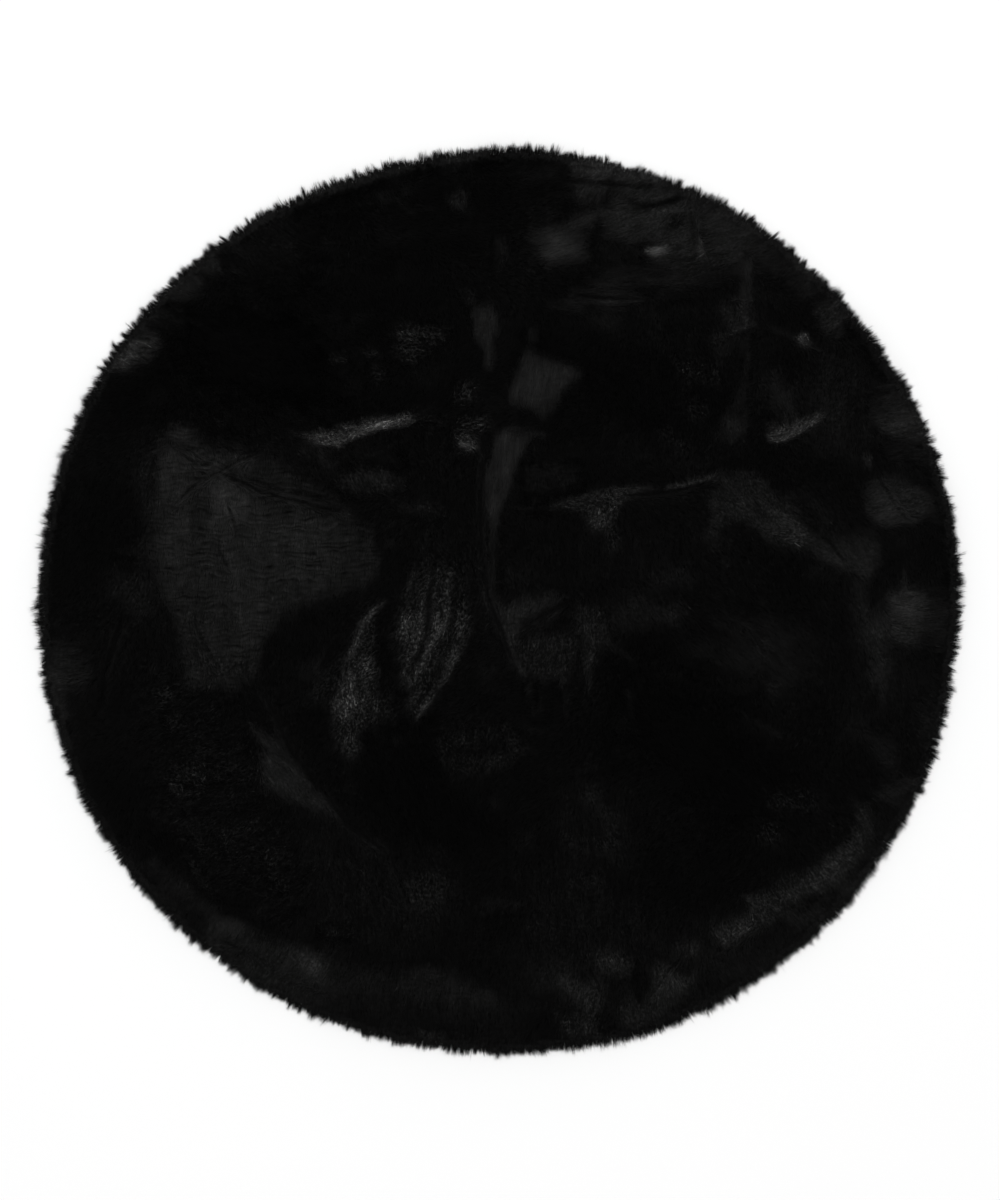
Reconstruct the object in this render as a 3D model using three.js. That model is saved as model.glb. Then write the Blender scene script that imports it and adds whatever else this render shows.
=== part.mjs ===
// Round faux-fur rug lying flat on a floor, its pile rounded down to the floor at the rim.
// Millimetres, +Z up, +Y the far side. The origin is on the floor under the middle of the rug's box.

import * as THREE from 'three';

// Driving sizes
const RUG_WIDTH = 1004; // along X, over the tips of the locks
const RUG_DEPTH = 985; // along Y, over the tips of the locks
const PILE_HEIGHT = 20; // floor to the top of the pile
const RIM_ROLL = 30; // width of the band over which the pile falls to the floor
const RIM_SWELL = 0.8; // power of that fall, under 1 for a fuller shoulder

// Locks of pile round the rim
const LOCK_COUNT = 288; // halves four times, for the rings inside
const LOCK_TIP_OUT = 2; // tip beyond the outline
const LOCK_TIP_SPREAD = 1.8;
const LOCK_GAP_IN = 4.5; // gap between two locks inside the outline
const LOCK_GAP_SPREAD = 2.8;
const GAP_WANDER = 0.2; // shift of a gap along the rim, as a share of the pitch
const LOCK_SHOULDER = 0.5; // share of a lock's length at which it is still broad
const LOCK_BREADTH = 0.6; // share of the way between its gaps that a lock's shoulders take
const LOCK_RIDGE = 1.2; // how far a lock's back stands over the furrows beside it
const CREST_RINGS = [
  { ridgeIn: 8, furrowIn: 13 },
  { ridgeIn: 20, furrowIn: 23 },
]; // distances inside the outline at which locks still show as ridges

// Leans are shares of the pitch of the locks
const LEAN_WAVES = 11; // neighbours lean alike: this many sways round the rim
const LEAN_SWAY = 0.16;
const LEAN_SPREAD = 0.14;

// Rings of points inside the locks
const SHOULDER_IN = 36; // first plain ring, inside the outline
const FIELD_IN = 56; // where the rings start to follow the lumps
const RING_STEP = 22;
const POINT_SPACING = 13; // a ring's points are halved in number when they come closer
const FEWEST_POINTS = 9;
const UNDERSIDE_IN = 40; // the underside's inner ring, inside the outline
const RING_SHIFT = 4; // random shift of a point along the pile, so that no ring shows
const TUFT_HEIGHT = 0.7; // random height of a point
const SEED = 7;

const FUR_COLOUR = 0x0c0c0d;
const FUR_ROUGHNESS = 1;

// Bulges and hollows of the outline, in degrees from +X and millimetres
const RIM_BULGES = [
  { at: 60, wide: 9, out: 2.2 },
  { at: 88, wide: 10, out: 2.6 },
  { at: 109, wide: 12, out: -3.6 },
  { at: 144, wide: 14, out: 1.7 },
  { at: 208, wide: 14, out: 1.4 },
  { at: 262, wide: 22, out: -1.8 },
  { at: 301, wide: 15, out: 2.5 },
  { at: 333, wide: 14, out: 1.6 },
  { at: 351, wide: 7, out: -4.0 },
];

// Soft swells of the pile: wave length in mm, heading and shift in degrees, rise in mm
const SWELLS = [
  { length: 66, heading: 20, shift: 0, rise: 0.8 },
  { length: 78, heading: 102, shift: 130, rise: 0.8 },
  { length: 97, heading: 63, shift: 60, rise: 0.9 },
  { length: 131, heading: 150, shift: 220, rise: 0.8 },
  { length: 215, heading: 8, shift: 300, rise: 0.6 },
];

// Packing creases, and pile pressed flat (rise below 0) or left standing (above 0)
const STROKES = [
  { from: [-5, 450], to: [-4, -100], wide: 24, rise: -2.2 }, // crease down the middle
  { from: [-400, 155], to: [320, 160], wide: 26, rise: -2.0 }, // crease across
  { from: [265, 375], to: [265, 165], wide: 22, rise: -1.8 }, // short crease at the right
  { from: [-258, -97], to: [-165, -245], wide: 24, rise: -2.6 }, // slanting crease, lower left
  { from: [-165, -245], to: [-35, -270], wide: 24, rise: -1.8 },
  { from: [-375, 85], to: [-145, 45], wide: 70, rise: -1.8 }, // brushed flat, left
  { from: [-205, 172], to: [-95, 200], wide: 22, rise: 2.6 }, // lip over it
  { from: [45, 100], to: [240, 135], wide: 22, rise: 2.2 }, // ridge right of the middle
  { from: [230, 95], to: [340, 80], wide: 45, rise: -1.6 }, // pressed arch under its end
  { from: [25, -45], to: [95, -45], wide: 48, rise: -2.0 }, // pressed palm
  { from: [-150, -50], to: [-130, -150], wide: 30, rise: -1.8 }, // finger strokes
  { from: [120, -45], to: [375, -250], wide: 44, rise: 2.2 }, // pile left standing
  { from: [110, 440], to: [270, 350], wide: 60, rise: -1.5 }, // brushed flat, upper right
  { from: [-380, -290], to: [-215, -395], wide: 30, rise: -2.4 }, // troughs inside the rim
  { from: [-215, -395], to: [0, -432], wide: 30, rise: -2.0 },
  { from: [150, -430], to: [265, -355], wide: 28, rise: -2.2 },
  { from: [265, -355], to: [430, -220], wide: 28, rise: -2.2 },
];

// Outline: an oval as laid, with its bulges
const MEAN_RADIUS = (RUG_WIDTH + RUG_DEPTH) / 4 - LOCK_TIP_OUT;
const OVAL = (RUG_WIDTH - RUG_DEPTH) / 4;
const FULL_TURN = 2 * Math.PI;
const PITCH = FULL_TURN / LOCK_COUNT;

function outlineRadius(angle) {
  let radius = MEAN_RADIUS + OVAL * Math.cos(2 * angle);
  for (const bulge of RIM_BULGES) {
    const away = angle - THREE.MathUtils.degToRad(bulge.at);
    const turn = THREE.MathUtils.euclideanModulo(away + Math.PI, FULL_TURN) - Math.PI;
    radius += bulge.out * bell(turn / THREE.MathUtils.degToRad(bulge.wide));
  }
  return radius;
}

function bell(share) {
  return Math.exp(-share * share);
}

function uneven(spread) {
  return spread * (2 * THREE.MathUtils.seededRandom() - 1);
}

// Height of the pile's top over the floor
function swell(x, y) {
  let rise = 0;
  for (const wave of SWELLS) {
    const heading = THREE.MathUtils.degToRad(wave.heading);
    const along = x * Math.cos(heading) + y * Math.sin(heading);
    const shift = THREE.MathUtils.degToRad(wave.shift);
    rise += wave.rise * Math.sin(FULL_TURN * along / wave.length + shift);
  }
  return rise;
}

function strokeRise(x, y) {
  const here = new THREE.Vector3(x, y, 0);
  const nearest = new THREE.Vector3();
  let rise = 0;
  for (const stroke of STROKES) {
    const line = new THREE.Line3(new THREE.Vector3(...stroke.from, 0), new THREE.Vector3(...stroke.to, 0));
    line.closestPointToPoint(here, true, nearest);
    rise += stroke.rise * bell(nearest.distanceTo(here) / stroke.wide);
  }
  return rise;
}

function pileHeight(x, y) {
  return PILE_HEIGHT + swell(x, y) + strokeRise(x, y);
}

function rimShare(inside) {
  const share = Math.min(1, inside / RIM_ROLL);
  return Math.sin(share * Math.PI / 2) ** RIM_SWELL;
}

// Points in polar places
function floorPoint(angle, out) {
  const radius = outlineRadius(angle) + out;
  return new THREE.Vector3(radius * Math.cos(angle), radius * Math.sin(angle), 0);
}

function pilePoint(angle, inside, lift) {
  const point = floorPoint(angle, -inside);
  point.z = pileHeight(point.x, point.y) * rimShare(inside) + lift;
  return point;
}

// Each lock has the gap before it and a tip, which leans to one side
function makeLocks() {
  const gaps = [];
  for (let i = 0; i < LOCK_COUNT; i += 1) {
    gaps.push((i + uneven(GAP_WANDER)) * PITCH);
  }
  gaps.push(gaps[0] + FULL_TURN);

  const locks = [];
  for (let i = 0; i < LOCK_COUNT; i += 1) {
    const middle = (gaps[i] + gaps[i + 1]) / 2;
    const lean = LEAN_SWAY * Math.sin(LEAN_WAVES * middle) + uneven(LEAN_SPREAD);
    locks.push({
      gap: gaps[i],
      gapIn: LOCK_GAP_IN + uneven(LOCK_GAP_SPREAD),
      breadth: LOCK_BREADTH * (gaps[i + 1] - gaps[i]),
      middle,
      tip: middle + lean * PITCH,
      tipOut: LOCK_TIP_OUT + uneven(LOCK_TIP_SPREAD),
    });
  }
  return locks;
}

// The rim on the floor: gap, shoulder, tip and shoulder of each lock in turn
function rimRing(locks) {
  return locks.flatMap((lock, i) => {
    const next = locks[(i + 1) % locks.length];
    const half = lock.breadth / 2;
    const broad = (lock.middle + lock.tip) / 2;
    return [
      floorPoint(lock.gap, -lock.gapIn),
      floorPoint(broad - half, THREE.MathUtils.lerp(-lock.gapIn, lock.tipOut, LOCK_SHOULDER)),
      floorPoint(lock.tip, lock.tipOut),
      floorPoint(broad + half, THREE.MathUtils.lerp(-next.gapIn, lock.tipOut, LOCK_SHOULDER)),
    ];
  });
}

// The locks' backs: furrow and ridge of each lock in turn
function crestRing(locks, { ridgeIn, furrowIn }) {
  return locks.flatMap((lock) => [
    pilePoint(lock.gap, furrowIn, -LOCK_RIDGE),
    pilePoint(lock.middle, ridgeIn, LOCK_RIDGE + uneven(TUFT_HEIGHT)),
  ]);
}

function plainRing(count, inside) {
  const points = [];
  for (let i = 0; i < count; i += 1) {
    points.push(pilePoint(i * FULL_TURN / count, inside, uneven(TUFT_HEIGHT)));
  }
  return points;
}

// A ring of the lumpy field, drawn in towards the middle to a share of its reach
function fieldRing(count, reach) {
  const points = [];
  for (let i = 0; i < count; i += 1) {
    const point = floorPoint(i * FULL_TURN / count, -FIELD_IN).multiplyScalar(reach);
    point.x += uneven(RING_SHIFT);
    point.y += uneven(RING_SHIFT);
    point.z = pileHeight(point.x, point.y) + uneven(TUFT_HEIGHT);
    points.push(point);
  }
  return points;
}

function fieldRings(count) {
  const rings = [];
  const fieldRadius = MEAN_RADIUS - FIELD_IN;
  const ringCount = Math.round(fieldRadius / RING_STEP);
  for (let ring = 0; ring < ringCount; ring += 1) {
    const reach = 1 - ring / ringCount;
    while (count > FEWEST_POINTS && FULL_TURN * fieldRadius * reach / count < POINT_SPACING) {
      count /= 2;
    }
    rings.push(fieldRing(count, reach));
  }
  return rings;
}

// A skin gathers points and triangles. Rings run anticlockwise seen from above.
class Skin {
  constructor() {
    this.points = [];
    this.triangles = [];
  }

  addRing(points) {
    const first = this.points.length;
    this.points.push(...points);
    return points.map((_, i) => first + i);
  }

  // Band between two rings, facing up, whose counts of points may differ
  joinRings(outer, inner) {
    let i = 0;
    let j = 0;
    while (i < outer.length || j < inner.length) {
      const outerPoint = outer[i % outer.length];
      const innerPoint = inner[j % inner.length];
      if ((i + 0.5) / outer.length <= (j + 0.5) / inner.length) {
        i += 1;
        this.triangles.push([outerPoint, outer[i % outer.length], innerPoint]);
      } else {
        j += 1;
        this.triangles.push([outerPoint, inner[j % inner.length], innerPoint]);
      }
    }
  }

  // Lid over the inside of a ring, facing up
  closeRing(ring) {
    const contour = ring.map((index) => new THREE.Vector2(this.points[index].x, this.points[index].y));
    for (const face of THREE.ShapeUtils.triangulateShape(contour, [])) {
      this.triangles.push(face.map((corner) => ring[corner]));
    }
  }

  // Turns the triangles added since a mark face down
  faceDown(mark) {
    for (const triangle of this.triangles.slice(mark)) {
      triangle.reverse();
    }
  }

  geometry() {
    const geometry = new THREE.BufferGeometry().setFromPoints(this.points);
    geometry.setIndex(this.triangles.flat());
    return geometry;
  }
}

// The rug: cloth and pile as one solid, its underside flat on the floor
function furSlab() {
  const locks = makeLocks();
  const skin = new Skin();
  const rim = skin.addRing(rimRing(locks));

  const topRings = [
    ...CREST_RINGS.map((crest) => crestRing(locks, crest)),
    plainRing(LOCK_COUNT, SHOULDER_IN),
    ...fieldRings(LOCK_COUNT / 2),
  ];
  let outer = rim;
  for (const points of topRings) {
    const inner = skin.addRing(points);
    skin.joinRings(outer, inner);
    outer = inner;
  }
  skin.closeRing(outer);

  const mark = skin.triangles.length;
  const undersidePoints = [];
  for (let i = 0; i < LOCK_COUNT / 2; i += 1) {
    undersidePoints.push(floorPoint(2 * i * PITCH, -UNDERSIDE_IN));
  }
  const underside = skin.addRing(undersidePoints);
  skin.joinRings(rim, underside);
  skin.closeRing(underside);
  skin.faceDown(mark);
  return skin.geometry();
}

// The origin goes under the middle of the box
function centreOnFloor(geometry) {
  geometry.computeBoundingBox();
  const middle = geometry.boundingBox.getCenter(new THREE.Vector3());
  geometry.translate(-middle.x, -middle.y, 0);
  return geometry;
}

THREE.MathUtils.seededRandom(SEED);

const fur = new THREE.MeshStandardMaterial({ color: FUR_COLOUR, roughness: FUR_ROUGHNESS, metalness: 0 });
const slab = new THREE.Mesh(centreOnFloor(furSlab()), fur);
slab.name = 'fur_slab';

const rug = new THREE.Group();
rug.add(slab);

export default rug;
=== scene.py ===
"""Round rug of black faux fur, lying flat on a pale floor and seen from straight above.

The cloth is a thin knitted ground with a dense pile on it. The pile has been stroked by hand: where
it was brushed flat it has a soft sheen, and elsewhere it stands and swallows the light. That sheen and
the shade of its partings, creases and rim are painted into the fibres' colour. Lengths are in
millimetres in the tables, measured from the middle of the rug, +X right and +Y away from the viewer.
"""

import math
from collections import namedtuple

import bpy
import numpy as np
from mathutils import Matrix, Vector
from mathutils.bvhtree import BVHTree


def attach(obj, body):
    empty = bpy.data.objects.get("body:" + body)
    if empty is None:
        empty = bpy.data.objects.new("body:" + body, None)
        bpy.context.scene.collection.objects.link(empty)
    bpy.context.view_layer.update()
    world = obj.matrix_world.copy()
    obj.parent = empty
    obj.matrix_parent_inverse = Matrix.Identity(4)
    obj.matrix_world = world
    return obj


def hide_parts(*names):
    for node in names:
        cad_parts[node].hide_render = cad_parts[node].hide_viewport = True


MM = 0.001
FULL_TURN = 2 * math.pi
FIELD_REACH = 620.0  # half the side of the square that random fields cover

# Camera, from the photograph's frame
IMAGE_HEIGHT = 1200
MM_PER_PIXEL = 1.08
LENS = 85
SENSOR_HEIGHT = 36
CAMERA_HEIGHT = IMAGE_HEIGHT * MM_PER_PIXEL * LENS / SENSOR_HEIGHT
RUG_MIDDLE_IN_IMAGE = (499.0, 600.5)
IMAGE_MIDDLE = (500.0, 600.0)

# Stage, the lamp in metres and watts
FLOOR_REACH = 20000.0
LAMP_SIZE = 2.4
LAMP_POWER = 26
LAMP_PLACE = (-0.3, 1.9, 3.4)

# Rug
GROUND_THICKNESS = 2.0
GROUND_IN = 8.0  # the ground's cut edge inside the pile's outline
GROUND_SPACING = 12.0
BED_SHARE = 0.5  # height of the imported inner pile, as a share of the whole
BED_IN = 9.0
BED_ROUNDING = 16.0
BED_SPACING = 6.0
BED_UNDERSIDE = 2.4  # just clear of the ground
FIBRE_LENGTH = 11.0
FIBRE_WIDTH = 0.75
ROOT_SPACING = 1.11
ROOT_IN = 9.0
ROOT_DEPTH = 1.0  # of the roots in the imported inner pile
FLATTENED = 0.3  # share of its height that pile loses where it lies flat
LOWEST_TIP = 0.9
RIM_TURN = 30.0  # band inside the outline over which the pile turns outward
RIM_LEAN = 0.93
# painted shade that darkens the pile toward the rim
RIM_SHADE = 0.24
RIM_FIBRES = 60000
RIM_ROOTS_IN = (9.5, 18)  # nearest to and farthest from the outline
RIM_FIBRE_LENGTH = 14.0
LONG_RIM_AT = 300.0  # degrees round the rug where the rim's pile falls farthest
LONG_RIM_SPAN = 38.0
RIM_FIBRE_WIDTH = 0.38
FLOOR_GAP = 0.3

# Settings that the fibres' node group takes, in metres and as shares
PILE_LENGTHS = ("Fibre Length", "Fibre Width", "Tuft Length", "Tuft Width")
PILE_SHARES = ("Gather", "Stray", "Tuft Spread")

# Partings: painted shade in their depth, and painted highlight on the pile at their sides
PARTING_WIDTH = 2.4  # to each side of its line
PARTING_COMBED = 7.0
PARTING_LEAN = 0.9
PARTING_SHADE = 0.66
PARTING_LIT = 0.12  # on the pile at its sides

# Ruffled pile: painted flecks of light and shade, and a turn of its nap
RUFFLE_LIGHT = 0.45
RUFFLE_TURN = 0.6  # radians

# Finish
COURSE_HEIGHT = 5.3  # of the ripples that the knit's courses make in the pile
WISPS = 14.0  # most that faint wisps lift the grey of the standing pile
FUR_GAIN = 2.0
BED_GAIN = 1.2

# Marks: their levels paint the brushed pile's sheen and shade into its colour
STREAK_SIZE = (24.0, 5.0)  # along and across a stroke
LOCK_SIZE = (20.0, 3.4)  # along and across the locks in it
ROW_SIZE = (22.0, 6.0)  # along and across the knit's courses
LOCK_WAVE = 6.0  # how far the streaks shift the locks
STREAK_LIGHT = 0.07
LOCK_LIGHT = 0.42
CLOUD_LIGHT = 0.18
HALO = 2.6  # reach of a mark's faint fringe, against its soft edge
HALO_SHARE = 0.3
PILE_TOP = 20.0
SEEN_LARGER = CAMERA_HEIGHT / (CAMERA_HEIGHT - PILE_TOP)  # marks were measured as if on the floor
STANDING = 7.2  # grey level of the standing pile as it shows in even light, 0 to 255

# A mark is a closed patch where wide is 0, and otherwise a stroke of that half width along its points.
# soft is the width over which it fades, level its grey, which is painted sheen where it is lighter than the
# standing pile and painted shade where darker, heading the way its tips point in degrees, lean from 0,
# upright, to 1, flat, rows how far the knit's courses show and tousle how ruffled it is.
Mark = namedtuple("Mark", "points wide soft level heading lean rows tousle")


def patch(level, soft, corners, heading=270, lean=0.85, rows=0.25, tousle=0.3):
    """A closed patch of brushed pile, its sheen or shade painted into the colour."""
    return Mark(corners, 0, soft, level, heading, lean, rows, tousle)


def stroke(level, soft, wide, path, heading=270, lean=0.85, rows=0.25, tousle=0.3):
    """A line of brushed pile along a path, its sheen or shade painted into the colour."""
    return Mark(path, wide, soft, level, heading, lean, rows, tousle)


BROAD_MARKS = [
    # faint haze of painted sheen
    patch(9.0, 40, [(60, 310), (160, 345), (290, 350), (330, 300), (250, 250), (240, 300), (120, 290)],
        lean=0.7),
    patch(9.5, 36, [(345, 330), (420, 240), (470, 170), (470, 80), (420, 60), (380, 140), (350, 220),
        (330, 290)], lean=0.7),
    patch(9.5, 36, [(370, 30), (480, 30), (482, -60), (460, -150), (400, -120), (370, -60)], lean=0.7),
    patch(8.5, 40, [(0, 110), (120, 100), (230, 70), (210, 20), (60, 20)], lean=0.7),
    patch(9.0, 40, [(-230, -250), (-150, -240), (-60, -270), (-40, -340), (-120, -380), (-210, -350)],
        lean=0.7),
    patch(9.5, 34, [(60, -330), (200, -350), (330, -310), (400, -250), (440, -200), (450, -240),
        (380, -330), (260, -400), (120, -440), (20, -430), (10, -380)], lean=0.7),
    patch(9.3, 26, [(-400, -270), (-330, -330), (-230, -385), (-120, -400), (0, -425), (60, -440),
        (0, -462), (-120, -455), (-240, -425), (-330, -365), (-400, -300)], lean=0.75),
    patch(10.0, 28, [(-485, -20), (-440, -40), (-440, -110), (-450, -170), (-470, -140)], lean=0.7),
    patch(9.0, 30, [(-300, 420), (-150, 400), (-160, 340), (-330, 330), (-380, 350)], lean=0.7),
    patch(9.5, 30, [(60, -190), (150, -200), (150, -290), (60, -280)], lean=0.7),
    patch(10.5, 26, [(90, 470), (180, 455), (300, 390), (350, 340), (290, 340), (180, 350), (60, 360),
        (70, 430)], lean=0.75),
    # swept toward the lower right with a faint painted sheen, over a valley of painted shade
    patch(10.5, 40, [(205, -50), (235, -25), (290, -12), (335, -45), (345, -85), (300, -105), (250, -85)],
        heading=320, rows=0.1),
    patch(4.0, 30, [(140, -72), (200, -105), (250, -145), (312, -185), (345, -235), (290, -240),
        (225, -238), (185, -180), (145, -150), (128, -110)], heading=320, lean=0.6, rows=0),
    # valley of painted shade under the strokes
    patch(4.2, 34, [(-150, -142), (-80, -138), (-58, -190), (5, -252), (-50, -280), (-125, -255),
        (-165, -200)], heading=300, lean=0.6, rows=0),
    # far left, in the standing pile: painted shade, and one patch of faint painted sheen
    patch(5.5, 40, [(-330, 320), (-210, 300), (-190, 215), (-290, 225), (-345, 260)], heading=150,
        lean=0.55, rows=0),
    patch(5.2, 30, [(-440, 120), (-400, 110), (-405, 40), (-455, 35)], heading=250, lean=0.6, rows=0),
    patch(5.5, 30, [(100, 245), (175, 240), (190, 180), (110, 195)], heading=280, lean=0.55, rows=0),
    patch(9.5, 40, [(-310, 385), (-235, 420), (-185, 400), (-200, 345), (-280, 340)], heading=140, lean=0.7,
        tousle=0.6),
    # ruffled pile with a faint painted sheen, lower left
    patch(8.5, 30, [(-395, -80), (-330, -85), (-270, -140), (-250, -220), (-195, -300), (-230, -345),
        (-320, -310), (-375, -200)], heading=200, lean=0.65, rows=0, tousle=1.0),
    patch(9.5, 30, [(-180, -255), (-60, -280), (-30, -330), (-90, -370), (-190, -350)], heading=290,
        lean=0.7, tousle=0.7),
    patch(9.0, 30, [(30, -300), (110, -290), (160, -340), (140, -400), (30, -385)], lean=0.7, tousle=0.6),
    # far right, ruffled, with a faint painted sheen
    patch(9.5, 24, [(280, 255), (345, 250), (400, 262), (395, 205), (345, 165), (290, 205)], heading=260,
        lean=0.75, tousle=0.7),
    patch(11.0, 16, [(345, 275), (378, 268), (380, 205), (385, 160), (345, 165), (340, 215)], heading=255,
        lean=0.8, rows=0.6, tousle=0.5),
]

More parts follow.
